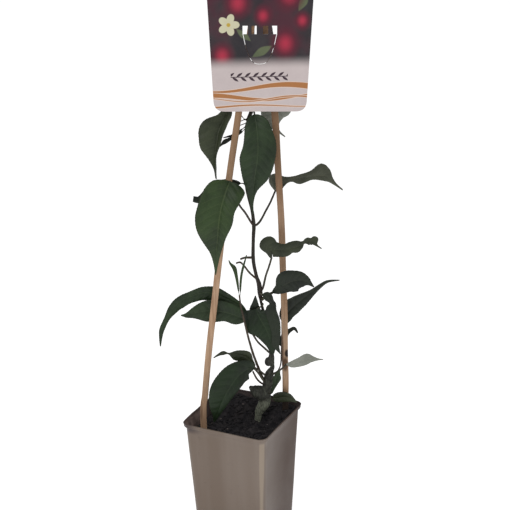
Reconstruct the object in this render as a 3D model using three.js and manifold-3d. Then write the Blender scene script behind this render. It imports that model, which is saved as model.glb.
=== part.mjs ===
// A young hardy kiwi vine on two canes, in a tall square nursery pot, with a hanging care label.
// Millimetres, +Z up. The origin is the centre of the pot's base, and the pot's sides run along X and Y.
// The plant, canes and label share a group that is turned about Z. In it, x runs across the label,
// y runs away from the label's front, and z is the height over the pot's base.

import * as THREE from 'three';
import { mergeVertices } from 'three/addons/utils/BufferGeometryUtils.js';
import Module from 'manifold-3d';

const wasm = await Module();
wasm.setup();

// Driving dimensions
const GAP = 0.3;
const PLANT_TURN_DEG = 26.55;

const POT_HEIGHT = 215;
const POT_BASE_HALF = 42.2;
const POT_WALL_TOP_HALF = 52.4;
const POT_RIM_HALF = 55.6;
const POT_RIM_DEPTH = 5;
const POT_CORNER = 9;
const POT_WALL = 1.6;
const POT_FLOOR = 2.4;
const DRAIN_RADIUS = 5;
const DRAIN_OFFSET = 27;

const SOIL_LEVEL = 197;
const SOIL_BUMP = 2.2;

// The compost is banked up along the pot's back, most of all to the right
const BANK_HEIGHT = 13;
const BANK_START_Y = 12;
const BANK_END_Y = 40;
const BANK_LEFT_SHARE = 0.45;
const BANK_LEFT_X = -50;
const BANK_FULL_X = -30;

const CANE_WIDTH = 7.6;
const CANE_THICKNESS = 3.6;
const CANE_EASE = 0.9;

const LABEL_THICKNESS = 0.8;
const LABEL_BACK_Y = -2.0;
const LABEL_CENTRE_X = 28.3;
const LABEL_BOTTOM_Z = 583;
const LABEL_TOP_Z = 738;
const LABEL_BOTTOM_HALF = 50.7;
const LABEL_TOP_HALF = 57.8;
const LABEL_TILT_DEG = -1.2;
const LABEL_CORNER = 11;

// The label's punched hanger: four windows in a row, and a tongue cut free under them.
// Heights are over the label's bottom edge, and the hanger's middle lies right of the label's.
const HANGER_MIDDLE = -0.4;
const WINDOW_LOW = 84.5;
const WINDOW_HIGH = 93.5;
const WINDOW_OUTER = [12.8, 18.5];
const WINDOW_INNER = [3.4, 9];
const TONGUE_LOW = 52;
const TONGUE_KNEE_HALF = 14.5;
const TONGUE_KNEE_HEIGHT = 68;
const TONGUE_SLIT = 0.5;

const STRAP_THICKNESS = 0.9;
const STRAP_HEIGHT = 4.5;
const STRAP_Z = 731;
const STRAP_INSIDE = {
  left: 23.8,
  right: 36.2,
  front: LABEL_BACK_Y - LABEL_THICKNESS - GAP,
  back: 7,
};

const LEAF_THICKNESS = 0.6;
const LEAF_EDGE_HALF = 0.35;
const BLADE_STEPS = 2;
const STALK_SIDES = 6;
const STALK_TAPER = 0.8;
const STEM_SIDES = 8;

// The vine's main stem, from just under the soil to its tip behind the label: x, y, z and radius
const STEM = [
  [17.5, 8, 191, 4],
  [18, 8, 201, 3.9],
  [19, 8, 208, 4.4],
  [21.5, 8, 214.5, 5.8],
  [26, 8, 222.5, 7],
  [28, 8, 232, 6.4],
  [29.5, 7, 243, 5.4],
  [31, 6, 251, 6],
  [32.5, 6, 260, 5.4],
  [34.5, 6, 266, 4],
  [36.5, 6, 270, 2.7],
  [37, 5, 278, 2.2],
  [37, 5, 287, 2.1],
  [33, 5, 313, 2.1],
  [27.5, 5, 342, 1.8],
  [24.5, 6, 357, 1.6],
  [24, 6, 366, 3],
  [23, 6, 377, 2.8],
  [20, 6, 388, 2.1],
  [17, 6, 407, 2.1],
  [17.5, 6, 431, 2],
  [18.5, 6, 448, 2.2],
  [17, 6, 466, 1.9],
  [13, 7, 483, 1.6],
  [11, 8, 495, 1.5],
  [12, 9, 514, 1.4],
  [15, 10, 537, 1.4],
  [14, 10, 559, 1.4],
  [14.5, 10, 571, 1.6],
  [18.5, 10, 580, 2.3],
  [20.5, 10, 590, 2.8],
  [21, 10, 610, 1.5],
  [22, 10, 643, 1.3],
  [23, 9, 670, 1.2],
  [24, 8, 697, 1],
];

// The stump of an older branch low on the stem, and a bud on its own short stalk above it
const BRANCH_STUMP = [
  [28, 8, 234, 8.5],
  [20, 6.5, 238, 8.6],
  [15, 5.5, 241.5, 6.2],
  [11.5, 4.5, 244.5, 3.2],
  [9.5, 4, 247, 2],
];
const BUD_STALK = [
  [35, 5, 297, 1.3],
  [34.5, 5, 290, 1.3],
  [33, 5, 282, 1.6],
];
const BUD_CENTRE = [32, 5, 278.5];
const BUD_RADII = [4.4, 3.4, 5.8];

// Each cane is a lath: the centre of its section at each height
const CANES = {
  cane_left: [
    [-43, -8.5, 40],
    [-47, -8, 203],
    [-43.5, -7.5, 247],
    [-37, -6, 303],
    [-29, -4.5, 360],
    [-22, -3.5, 412],
    [-15.2, -2.2, 459],
    [-7, -1, 513],
    [3.8, 0.2, 576],
    [11.2, 0.4, 621],
    [20, 0.5, 671],
    [30, 0.5, 742],
  ],
  cane_right: [
    [46, 15, 40],
    [52, 15, 223],
    [52, 14, 282],
    [52, 14, 341],
    [51, 12, 398],
    [50, 11, 453],
    [47.5, 9, 509],
    [45, 7.5, 571],
    [41, 6, 621],
    [36.5, 5, 671],
    [31, 4.8, 742],
  ],
};

// Thin growth with no blade: x, y, z along it, then its radii at the start and the end
const SHOOTS = [
  {
    name: 'side_shoot',
    points: [
      [29, 6, 250],
      [25.5, 5, 256],
      [20, 3, 272],
      [15.2, -4, 290],
      [11.4, -12, 308],
      [7.9, -15, 325],
      [4.4, -14, 343],
      [1.2, -10, 357],
      [0, -7, 369],
    ],
    radii: [1.8, 0.9],
  },
  {
    name: 'bare_stalk_upper',
    points: [
      [17, 6, 411],
      [14, 6, 410],
      [8, 5, 410.5],
      [2, 4, 409],
    ],
    radii: [1.5, 1.2],
  },
  {
    name: 'bare_stalk_middle',
    points: [
      [20, 6, 384],
      [13, 5, 391],
      [6, 4, 401],
      [2, 3, 405.5],
      [-3, 2, 405],
    ],
    radii: [1.3, 1],
  },
  {
    name: 'bare_stalk_base',
    points: [
      [27, 6, 248],
      [21.5, 1, 254],
      [17, -1, 261],
      [13.5, -1, 269],
    ],
    radii: [1.2, 1.1],
  },
];

// Leaves. stalk runs from the stem's axis to the blade. Each rib is x, y, z on the midrib and the
// blade's half widths there, seen from the front. side names what lifts each half: its angle at
// the base and at the tip, towards the front.
const LEAVES = [
  {
    name: 'leaf_top_left',
    stalk: [[21, 10, 612], [13, 11, 607], [3, 12, 596], [-5, 12, 586.5]],
    stalkRadius: 0.9,
    ribs: [
      [-5, 12, 586.5, 5.5, 4.5],
      [-10.5, 9.5, 574, 9, 5],
      [-17, 4, 561.5, 21.5, 5],
      [-20, 0, 549, 20.5, 4],
      [-22, -1, 538, 16, 2],
      [-23.5, 0, 527.5, 6, 2],
      [-23.5, 2, 517.5, 1.5, 1.5],
      [-22.5, 4, 506, 1, 1],
    ],
    lift: [[0, 0], [60, 65]],
  },
  {
    name: 'leaf_top_centre',
    stalk: [[19, 10, 590], [21, 7, 587], [22, 2, 579]],
    stalkRadius: 1.2,
    ribs: [
      [22, 2, 579, 9, 9],
      [24, -6, 565, 13, 15.5],
      [25, -10, 548, 16, 20],
      [24, -12, 531, 19.5, 19],
      [21, -11, 512, 14.5, 15],
      [19, -8, 495, 8, 4.5],
      [18, -5, 480, 3.5, 1],
      [18, -2, 465, 0.6, 0.6],
    ],
    lift: [[8, 8], [10, 10]],
  },
  {
    name: 'leaf_big_left',
    stalk: [[18.5, 6, 448], [14, 4, 456], [9, 1, 466], [3, -3, 476], [-3, -10, 492], [-7, -14, 508]],
    stalkRadius: 1.4,
    ribs: [
      [-7, -14, 508, 10, 19],
      [-12, -22, 497, 22.5, 19.5],
      [-17, -28, 481, 26, 15.5],
      [-20, -31, 465, 26.5, 14.5],
      [-22, -30, 447, 19.5, 8.5],
      [-24, -27, 429, 7.5, 5],
      [-25, -24, 415, 3, 2.5],
      [-26, -21, 400, 0.6, 0.6],
    ],
    lift: [[10, 10], [20, 20]],
  },
  {
    name: 'leaf_behind_left',
    stalk: [[11, 8, 495], [8, 5, 499], [5, 3, 500]],
    stalkRadius: 0.8,
    ribs: [
      [5, 3, 500, 2, 2],
      [-5, 6, 500, 4, 4.5],
      [-17, 8, 498, 5, 5.5],
      [-31, 8, 489, 5.5, 5.5],
      [-42, 7, 481, 4, 4.2],
      [-49.5, 6, 482, 3.4, 3.4],
    ],
  },
  {
    name: 'leaf_right_wavy',
    stalk: [[18.5, 6, 448], [23, 8, 450], [27, 11, 454], [32, 15, 462], [38, 19, 472], [44, 24, 484]],
    stalkRadius: 1.4,
    ribs: [
      [43.5, 24, 484, 3.5, 3.5],
      [46, 24, 492, 6.5, 10],
      [55, 23, 497, 4, 3],
      [63, 22, 498, 2, 2.5],
      [72, 21, 499, 4.5, 3.5],
      [85, 20, 501, 2.5, 5.5],
      [96.5, 20, 502, 4, 11],
      [102, 20, 501, 4.2, 8],
      [107.5, 20, 497, 2.5, 3],
      [113, 21, 491, 1.2, 1.2],
      [121, 22, 484, 0.6, 0.6],
    ],
    lift: [[60, 60], [-50, -40]],
  },
  {
    name: 'leaf_right_curled',
    stalk: [[24, 6, 368], [27.5, 5, 373], [31, 1, 389], [35, -2, 402], [38, -4, 413]],
    stalkRadius: 1.4,
    ribs: [
      [37.5, -4, 412, 2.5, 2.5],
      [36, -6, 419.5, 4, 4.5],
      [37.5, -8, 424.5, 9, 16],
      [44, -9, 424.5, 9, 8.5],
      [53.5, -10, 424, 8, 7],
      [60, -10, 426, 6, 7.5],
      [66.5, -10, 427.5, 7, 7.5],
      [71.5, -9, 429, 4, 5.5],
      [75, -8, 431, 1, 3],
      [79, -8, 433, 4.5, 4.5],
      [83, -8, 433, 4, 4],
      [86, -8, 432.5, 4.5, 6.5],
      [89, -8, 428.5, 1.5, 1.5],
      [95, -7, 423.5, 0.5, 0.5],
    ],
  },
  {
    name: 'leaf_right_dark',
    stalk: [[26, 5.5, 358], [32, 3, 364], [38, -2, 369]],
    stalkRadius: 2,
    ribs: [
      [38, -2, 369, 2.5, 2.5],
      [46, -5, 375, 7.5, 6],
      [55, -9, 383, 12.5, 15],
      [67, -10, 387, 13, 11.5],
      [76, -9, 385, 7, 7],
      [81, -8, 382, 3, 3],
      [86, -7, 377, 0.6, 0.6],
    ],
  },
  {
    name: 'leaf_right_long',
    stalk: [
      [33, 7, 260], [38, 9, 260], [43, 13, 262], [47, 21, 268], [48, 23, 283], [49, 24, 298],
      [52, 23, 319],
    ],
    stalkRadius: 0.9,
    ribs: [
      [52, 23, 319, 6, 3.5],
      [55, 24, 331, 8.5, 9],
      [63, 25, 340, 9.5, 12],
      [74, 26, 349, 8, 8.5],
      [85, 26, 358, 5, 3.5],
      [95, 26, 366, 3.2, 2],
      [104, 26, 371, 2, 1.5],
      [118, 26, 372, 0.6, 0.6],
    ],
  },
  {
    name: 'leaf_small_curl',
    stalk: [[48, 23, 283], [48, 25.5, 285], [48, 27, 288]],
    stalkRadius: 0.6,
    carriedBy: 'leaf_right_long',
    ribs: [
      [48, 27, 288, 3, 3],
      [50, 27, 296, 4.5, 4.5],
      [54, 26, 305, 3.5, 4],
      [59, 25, 310, 2.5, 2.5],
      [64, 24, 312.5, 2, 2],
      [68, 23, 307, 0.8, 0.8],
    ],
  },
  {
    name: 'leaf_pale_right',
    stalk: [[34, 5, 264], [38, 2.5, 264], [44, 3.5, 267], [49, 5, 270], [53, 4, 275]],
    stalkRadius: 1.3,
    ribs: [
      [53, 4, 275, 1.2, 1.2],
      [60, 2, 276, 4.5, 4],
      [69, 0, 280, 6.2, 5.2],
      [78, 0, 283, 6.2, 7],
      [85, 0, 283, 3.5, 3.5],
      [91.5, 0, 282.5, 1.4, 1],
      [97, 1, 281.5, 0.5, 0.5],
    ],
  },
  {
    name: 'leaf_left_arching',
    stalk: [[31, 5, 328], [22, 5, 338], [14, 4, 342], [8, 4, 343]],
    stalkRadius: 1,
    ribs: [
      [8, 4, 343, 3, 3.5],
      [-2, 6, 352, 4, 9.5],
      [-15, 8, 359, 6.5, 10.5],
      [-29, 9, 365, 8.5, 10.5],
      [-42, 9, 367, 7, 9.5],
      [-57, 8, 363, 6, 8],
      [-70, 7, 357, 6, 7.5],
      [-79, 6, 348, 5, 6],
      [-86, 5, 337, 3, 3.5],
      [-92, 4, 324, 3, 3],
      [-94, 4, 314, 2, 2],
      [-95, 4, 302, 0.6, 0.6],
    ],
  },
  {
    name: 'leaf_left_spreading',
    stalk: [[35.5, 6, 288], [26, 5, 298], [20, 4, 305], [15, 3, 314], [10, 1, 325], [7, 0, 335]],
    stalkRadius: 1.3,
    ribs: [
      [7, 0, 335, 7, 7],
      [-4, 1, 340, 10.5, 11],
      [-16, 2, 344, 13, 11],
      [-29, 3, 346, 14, 14],
      [-42, 3, 346, 12, 13],
      [-55, 2, 344, 6.5, 6.5],
      [-63, 1, 343, 2, 4],
      [-69, 1, 342, 0.6, 0.6],
    ],
  },
  {
    name: 'leaf_centre',
    stalk: [[25.5, 5.5, 353], [27, 2, 354], [26, -3, 353.5], [19.5, -6, 351]],
    stalkRadius: 1,
    baseRound: 0.05,
    ribs: [
      [19.5, -6, 351, 14.5, 3.5],
      [20, -7.5, 347, 16, 10.5],
      [22.5, -9.5, 342, 18.5, 14.5],
      [26.5, -12, 335, 20.5, 14.5],
      [30.5, -13.5, 327.5, 16, 11.5],
      [33.5, -14, 318, 11, 8.5],
      [35.5, -14, 308.5, 6, 6],
      [37, -13, 297, 2, 2],
    ],
  },
  {
    name: 'leaf_centre_upright',
    stalk: [[33, 5, 313], [26, 3, 316], [18, 0, 322], [17, -2, 329]],
    stalkRadius: 0.8,
    ribs: [
      [17, -2, 329, 4.5, 4.5],
      [18, -2, 342, 6, 6],
      [17.5, -2, 349.5, 6, 6],
      [18, -2, 357, 3.5, 3.5],
      [18.5, -2, 366, 0.5, 0.5],
    ],
  },
  {
    name: 'leaf_node_small',
    stalk: [[24, 6, 365], [24.5, 3, 367], [26.5, -1, 367]],
    stalkRadius: 1.4,
    ribs: [
      [26.5, -1, 367, 3.5, 3.5],
      [32.5, -5, 365, 5, 6],
      [36.5, -9, 361, 3, 3.5],
      [38, -11, 358, 6, 4],
      [38.5, -13, 351, 8.5, 4],
      [40, -15, 339, 7, 6],
      [41.5, -16, 324.5, 5, 5],
      [41.5, -16.5, 310.5, 5, 3.5],
      [44, -16, 303, 2.5, 1.5],
      [46, -15.5, 297.5, 0.5, 0.5],
    ],
  },
  {
    name: 'leaf_low_left_small',
    stalk: [[28.5, 4, 261], [23.5, -1, 268], [19.5, -3, 272], [15.5, -4, 276]],
    stalkRadius: 1.2,
    ribs: [
      [15.5, -4, 276, 3, 3],
      [11.5, -5, 284.5, 3, 7],
      [6, -6.5, 290.5, 7.5, 7],
      [-1, -8, 294, 6, 8],
      [-8, -8, 295, 4, 7],
      [-14.5, -8, 296, 1, 1],
      [-20.5, -8, 297, 2.5, 2.5],
      [-26, -8, 295, 1.5, 1.5],
      [-32.5, -7, 290.5, 0.5, 0.5],
    ],
  },
  {
    name: 'leaf_low_left_big',
    stalk: [[26.5, 2, 254], [23, -1, 261.5], [19, -4, 269.5], [15, -8, 276]],
    stalkRadius: 1.3,
    ribs: [
      [15, -8, 276, 4, 4],
      [7, -14, 278, 12, 11],
      [-3, -20, 273, 18, 11],
      [-11, -24, 264, 20.5, 10.5],
      [-19, -26, 251, 20, 8.5],
      [-26, -25, 235, 13.5, 5.5],
      [-31, -22, 221, 4.5, 2.5],
      [-34, -20, 213, 0.6, 0.6],
    ],
  },
  {
    name: 'leaf_over_rim',
    stalk: [[27, 8, 230], [32, 8, 228.5], [36, 8, 228.5]],
    stalkRadius: 1.1,
    ribs: [
      [36, 8, 228.5, 3, 3.5],
      [41.5, 7, 229.5, 5.5, 6.5],
      [49, 6, 231, 6.5, 7],
      [55.5, 5, 231, 6, 5],
      [60.5, 4, 228.5, 3.5, 2.5],
      [65.5, 4, 224.5, 0.5, 0.5],
    ],
  },
  {
    name: 'leaf_narrow',
    stalk: [[26.5, 7.5, 238], [31, 3, 238], [35, -2, 240]],
    stalkRadius: 0.8,
    ribs: [
      [35, -2, 239.5, 1, 1],
      [36.5, -3, 246, 2, 2],
      [39, -4, 254, 3.5, 2.5],
      [41, -5, 261.5, 5.5, 4],
      [43, -6, 268, 3, 2],
      [45.5, -6, 272.5, 0.5, 0.5],
    ],
  },
  {
    name: 'leaf_behind_label',
    stalk: [[24, 8, 692], [31, 12, 694], [40, 17, 684], [45, 20, 650], [46, 22, 604]],
    stalkRadius: 1,
    ribs: [
      [46, 22, 604, 9, 9],
      [46, 24, 590, 15.5, 15.5],
      [46, 25, 578, 17, 17],
      [45, 25, 569, 14.5, 9.5],
      [46, 24, 561, 8, 3.5],
      [49, 23, 554, 2, 1.5],
      [56, 21, 548, 0.6, 0.6],
    ],
  },
  {
    name: 'leaf_small_top',
    stalk: [[14, 10, 565], [11, 10.8, 560.5], [8.5, 11, 558]],
    stalkRadius: 0.6,
    ribs: [
      [8.5, 11, 558, 1.5, 1.5],
      [1, 11, 553.5, 1.5, 1.5],
      [-7, 10.5, 549, 2, 2],
      [-12, 10, 546.5, 2.5, 2.5],
      [-15.5, 9, 543.5, 1, 1],
      [-17.5, 8, 541.5, 0.5, 0.5],
    ],
  },
  {
    name: 'leaf_small_top_upper',
    stalk: [[14, 10, 568], [11, 12.5, 562.5], [8.5, 14, 560]],
    stalkRadius: 0.6,
    ribs: [
      [8.5, 14, 560, 1, 1],
      [1, 14.5, 554.5, 1, 1],
      [-7, 15, 551.5, 1, 1],
      [-13.5, 15, 550, 0.5, 0.5],
    ],
  },
  {
    name: 'young_leaf_left',
    stalk: [[0, -7, 368.5], [-0.6, -7, 372]],
    stalkRadius: 0.4,
    carriedBy: 'side_shoot',
    ribs: [
      [-0.6, -7, 372, 0.7, 0.8],
      [-1.5, -7, 383, 1.2, 1.5],
      [-3, -6, 394, 1.7, 2],
      [-5, -5, 402, 2.2, 2.5],
      [-9, -5, 407, 1.2, 1.4],
      [-11, -4, 411, 0.5, 0.5],
    ],
  },
  {
    name: 'young_leaf_right',
    stalk: [[0.5, -7, 367], [1.4, -7.2, 372]],
    stalkRadius: 0.4,
    carriedBy: 'side_shoot',
    ribs: [
      [1.2, -7.2, 372, 0.8, 0.8],
      [1.7, -7.2, 383, 1.3, 1.2],
      [3, -7, 394, 1.4, 1.2],
      [5, -7, 403, 1.4, 1.1],
      [7.5, -7, 411, 0.9, 0.9],
      [9.5, -7, 418, 0.5, 0.5],
    ],
  },
];

// Colours and finish of each material
const MATERIALS = {
  pot: new THREE.MeshStandardMaterial({ color: 0x7c7066, roughness: 0.55, metalness: 0 }),
  soil: new THREE.MeshStandardMaterial({ color: 0x1f1d1e, roughness: 1, metalness: 0 }),
  cane: new THREE.MeshStandardMaterial({ color: 0x9b8067, roughness: 0.8, metalness: 0 }),
  label: new THREE.MeshStandardMaterial({ color: 0xc8bec0, roughness: 0.4, metalness: 0 }),
  strap: new THREE.MeshStandardMaterial({ color: 0x3a4a36, roughness: 0.5, metalness: 0 }),
  stem: new THREE.MeshStandardMaterial({ color: 0x5a5a50, roughness: 0.9, metalness: 0 }),
  shoot: new THREE.MeshStandardMaterial({ color: 0x4a4a42, roughness: 0.8, metalness: 0 }),
  leaf: new THREE.MeshStandardMaterial({ color: 0x3a4635, roughness: 0.6, metalness: 0 }),
};

// Geometry helpers

function vec([x, y, z]) {
  return new THREE.Vector3(x, y, z);
}

// Samples a smooth curve through rows of numbers, with the same weights for every column
function sampleRows(rows, steps) {
  const first = rows[0].map((value, k) => 2 * value - rows[1][k]);
  const last = rows.at(-1).map((value, k) => 2 * value - rows.at(-2)[k]);
  const padded = [first, ...rows, last];
  const spans = rows.length - 1;
  const samples = [];
  for (let i = 0; i <= spans * steps; i += 1) {
    const span = Math.min(Math.floor(i / steps), spans - 1);
    const f = i / steps - span;
    const [a, b, c, d] = padded.slice(span, span + 4);
    samples.push(b.map((_, k) => 0.5 * (2 * b[k] + (c[k] - a[k]) * f
      + (2 * a[k] - 5 * b[k] + 4 * c[k] - d[k]) * f ** 2
      + (3 * b[k] - a[k] - 3 * c[k] + d[k]) * f ** 3)));
  }
  return samples;
}

function tangents(points) {
  return points.map((_, i) => {
    const before = points[Math.max(i - 1, 0)];
    const after = points[Math.min(i + 1, points.length - 1)];
    return after.clone().sub(before).normalize();
  });
}

function fromTriangles(positions, indices) {
  const geometry = new THREE.BufferGeometry();
  geometry.setAttribute('position', new THREE.Float32BufferAttribute(positions, 3));
  geometry.setIndex(indices);
  return geometry;
}

// A closed solid through rings of equal length, each running anticlockwise seen from the last ring
function loft(rings) {
  const count = rings[0].length;
  const positions = rings.flat().flatMap((p) => [p.x, p.y, p.z]);
  const indices = [];
  for (let r = 0; r + 1 < rings.length; r += 1) {
    for (let i = 0; i < count; i += 1) {
      const a = r * count + i;
      const b = r * count + (i + 1) % count;
      indices.push(a, b, b + count, a, b + count, a + count);
    }
  }
  const top = (rings.length - 1) * count;
  for (let i = 1; i + 1 < count; i += 1) {
    indices.push(0, i + 1, i);
    indices.push(top, top + i, top + i + 1);
  }
  return fromTriangles(positions, indices);
}

function roundedSquare(half, corner, z, segments = 4) {
  const ring = [];
  for (let quarter = 0; quarter < 4; quarter += 1) {
    const cx = (quarter === 0 || quarter === 3 ? 1 : -1) * (half - corner);
    const cy = (quarter < 2 ? 1 : -1) * (half - corner);
    for (let i = 0; i <= segments; i += 1) {
      const angle = (quarter + i / segments) * Math.PI / 2;
      ring.push(new THREE.Vector3(cx + corner * Math.cos(angle), cy + corner * Math.sin(angle), z));
    }
  }
  return ring;
}

// Moves a path's two end points outwards
function lengthen(points, directions, extra) {
  points[0].addScaledVector(directions[0], -extra);
  points.at(-1).addScaledVector(directions.at(-1), extra);
}

// A round tube through points, with its own radius at each, carried along without twisting.
// extra widens it all round and lengthens it at both ends.
function tube(rows, sides, steps = 2, extra = 0) {
  const samples = sampleRows(rows, steps);
  const points = samples.map(vec);
  const directions = tangents(points);
  lengthen(points, directions, extra);
  let side = new THREE.Vector3(1, 0, 0);
  if (Math.abs(directions[0].x) > 0.8) {
    side = new THREE.Vector3(0, 1, 0);
  }
  const rings = points.map((point, i) => {
    const along = directions[i];
    side.addScaledVector(along, -side.dot(along)).normalize();
    const up = along.clone().cross(side);
    const radius = samples[i][3] + extra;
    return Array.from({ length: sides }, (_, k) => {
      const angle = 2 * Math.PI * k / sides;
      return point.clone()
        .addScaledVector(side, radius * Math.cos(angle))
        .addScaledVector(up, radius * Math.sin(angle));
    });
  });
  return loft(rings);
}

function withRadii(points, start, end) {
  return points.map((point, i) => [...point, start + (end - start) * i / (points.length - 1)]);
}

// Booleans

function toSolid(geometry) {
  const bare = geometry.clone();
  bare.deleteAttribute('normal');
  bare.deleteAttribute('uv');
  const merged = mergeVertices(bare, 1e-4);
  return new wasm.Manifold(new wasm.Mesh({
    numProp: 3,
    vertProperties: new Float32Array(merged.attributes.position.array),
    triVerts: new Uint32Array(merged.index.array),
  }));
}

function fromSolid(solid) {
  const { vertProperties, triVerts } = solid.getMesh();
  return fromTriangles(Array.from(vertProperties), Array.from(triVerts));
}

function largestBody(solid) {
  const bodies = solid.decompose();
  return bodies.reduce((best, body) => (body.volume() > best.volume() ? body : best));
}

// Pot

function potGeometry() {
  const rimBottom = POT_HEIGHT - POT_RIM_DEPTH;
  const outer = loft([
    roundedSquare(POT_BASE_HALF, POT_CORNER, 0),
    roundedSquare(POT_WALL_TOP_HALF, POT_CORNER, rimBottom - 1),
    roundedSquare(POT_RIM_HALF - 0.6, POT_CORNER + 1, rimBottom),
    roundedSquare(POT_RIM_HALF, POT_CORNER + 1.5, rimBottom + 1),
    roundedSquare(POT_RIM_HALF, POT_CORNER + 1.5, POT_HEIGHT - 1),
    roundedSquare(POT_RIM_HALF - 0.8, POT_CORNER + 1, POT_HEIGHT),
  ]);
  const inner = loft([
    roundedSquare(cavityHalf(POT_FLOOR), POT_CORNER - POT_WALL, POT_FLOOR),
    roundedSquare(cavityHalf(rimBottom - 1), POT_CORNER - POT_WALL, rimBottom - 1),
    roundedSquare(POT_RIM_HALF - POT_WALL, POT_CORNER, rimBottom + 1.5),
    roundedSquare(POT_RIM_HALF - POT_WALL, POT_CORNER, POT_HEIGHT + 1),
  ]);
  let solid = toSolid(outer).subtract(toSolid(inner));
  for (const x of [-DRAIN_OFFSET, DRAIN_OFFSET]) {
    for (const y of [-DRAIN_OFFSET, DRAIN_OFFSET]) {
      const drain = new THREE.CylinderGeometry(DRAIN_RADIUS, DRAIN_RADIUS, 4 * POT_FLOOR, 16);
      drain.rotateX(Math.PI / 2);
      drain.translate(x, y, 0);
      solid = solid.subtract(toSolid(drain));
    }
  }
  return fromSolid(solid);
}

function cavityHalf(z) {
  return POT_BASE_HALF - POT_WALL + (POT_WALL_TOP_HALF - POT_BASE_HALF) * z / POT_HEIGHT;
}

// Soil: a block that fills the pot's cavity, with an uneven top that is dug out for stem and canes

function soilHeight(x, y) {
  const slow = Math.sin(0.09 * x + 1.1) * Math.cos(0.075 * y - 0.4);
  const fast = Math.sin(0.31 * x - 0.17 * y) * Math.sin(0.27 * y + 0.8);
  const back = THREE.MathUtils.smoothstep(y, BANK_START_Y, BANK_END_Y);
  const right = THREE.MathUtils.smoothstep(x, BANK_LEFT_X, BANK_FULL_X);
  const bank = BANK_HEIGHT * back * THREE.MathUtils.lerp(BANK_LEFT_SHARE, 1, right);
  return SOIL_LEVEL + SOIL_BUMP * (0.65 * slow + 0.35 * fast) + bank;
}

function soilGeometry(holes) {
  const corner = POT_CORNER - POT_WALL;
  const half = (z) => cavityHalf(z) - GAP;
  const rings = [
    roundedSquare(half(POT_FLOOR + GAP), corner, POT_FLOOR + GAP),
    roundedSquare(half(SOIL_LEVEL - 6), corner, SOIL_LEVEL - 6),
  ];
  for (const scale of [1, 0.8, 0.6, 0.4, 0.2, 0.05]) {
    const ring = roundedSquare(half(SOIL_LEVEL - 6) * scale, corner * scale, 0);
    rings.push(ring.map((p) => new THREE.Vector3(p.x, p.y, soilHeight(p.x, p.y))));
  }
  const solid = holes.reduce((left, hole) => left.subtract(hole), toSolid(loft(rings)));
  return fromSolid(largestBody(solid));
}

// Canes: laths with eased edges, their broad side to the front

function caneGeometry(points, extra = 0) {
  const halfWidth = CANE_WIDTH / 2 + extra;
  const halfDepth = CANE_THICKNESS / 2 + extra;
  const corners = [
    [halfWidth, -halfDepth + CANE_EASE],
    [halfWidth, halfDepth - CANE_EASE],
    [halfWidth - CANE_EASE, halfDepth],
    [-halfWidth + CANE_EASE, halfDepth],
    [-halfWidth, halfDepth - CANE_EASE],
    [-halfWidth, -halfDepth + CANE_EASE],
    [-halfWidth + CANE_EASE, -halfDepth],
    [halfWidth - CANE_EASE, -halfDepth],
  ];
  const centres = sampleRows(points, 2).map(vec);
  lengthen(centres, tangents(centres), extra);
  return loft(centres.map((p) => corners.map(([x, y]) => new THREE.Vector3(p.x + x, p.y + y, p.z))));
}

// Care label: a thin plate that widens upwards, with four windows and a tongue cut under them

function labelOutline() {
  const height = LABEL_TOP_Z - LABEL_BOTTOM_Z;
  const low = LABEL_BOTTOM_HALF;
  const high = LABEL_TOP_HALF;
  const outline = new THREE.Shape();
  outline.moveTo(-low + LABEL_CORNER, 0);
  outline.lineTo(low - LABEL_CORNER, 0);
  outline.quadraticCurveTo(low - 0.5, 0.5, low + 0.3, LABEL_CORNER);
  outline.lineTo(high, height - LABEL_CORNER);
  outline.quadraticCurveTo(high, height, high - LABEL_CORNER, height);
  outline.lineTo(-high + LABEL_CORNER, height);
  outline.quadraticCurveTo(-high, height, -high, height - LABEL_CORNER);
  outline.lineTo(-low - 0.3, LABEL_CORNER);
  outline.quadraticCurveTo(-low + 0.5, 0.5, -low + LABEL_CORNER, 0);
  return outline;
}

// The U-shaped slit that frees the tongue, joined at its upper ends to the two outer windows
function tongueCut() {
  const [inner, outer] = WINDOW_OUTER;
  const sides = (from, to, bottom) => [
    new THREE.Vector2(-from, WINDOW_LOW),
    new THREE.Vector2(-to, TONGUE_KNEE_HEIGHT),
    new THREE.Vector2(-0.58 * to, bottom + 3),
    new THREE.Vector2(0, bottom),
    new THREE.Vector2(0.58 * to, bottom + 3),
    new THREE.Vector2(to, TONGUE_KNEE_HEIGHT),
    new THREE.Vector2(from, WINDOW_LOW),
  ];
  const outerSide = sides(outer, TONGUE_KNEE_HALF, TONGUE_LOW);
  const innerSide = sides(
    outer - 1.3 * TONGUE_SLIT,
    TONGUE_KNEE_HALF - TONGUE_SLIT,
    TONGUE_LOW + TONGUE_SLIT,
  );
  const points = [
    new THREE.Vector2(-inner, WINDOW_LOW),
    new THREE.Vector2(-inner, WINDOW_HIGH),
    new THREE.Vector2(-outer, WINDOW_HIGH),
    ...outerSide,
    new THREE.Vector2(outer, WINDOW_HIGH),
    new THREE.Vector2(inner, WINDOW_HIGH),
    new THREE.Vector2(inner, WINDOW_LOW),
    ...innerSide.reverse(),
  ];
  const cut = new THREE.Path();
  cut.setFromPoints(points.map((point) => point.add(new THREE.Vector2(HANGER_MIDDLE, 0))));
  return cut;
}

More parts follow.
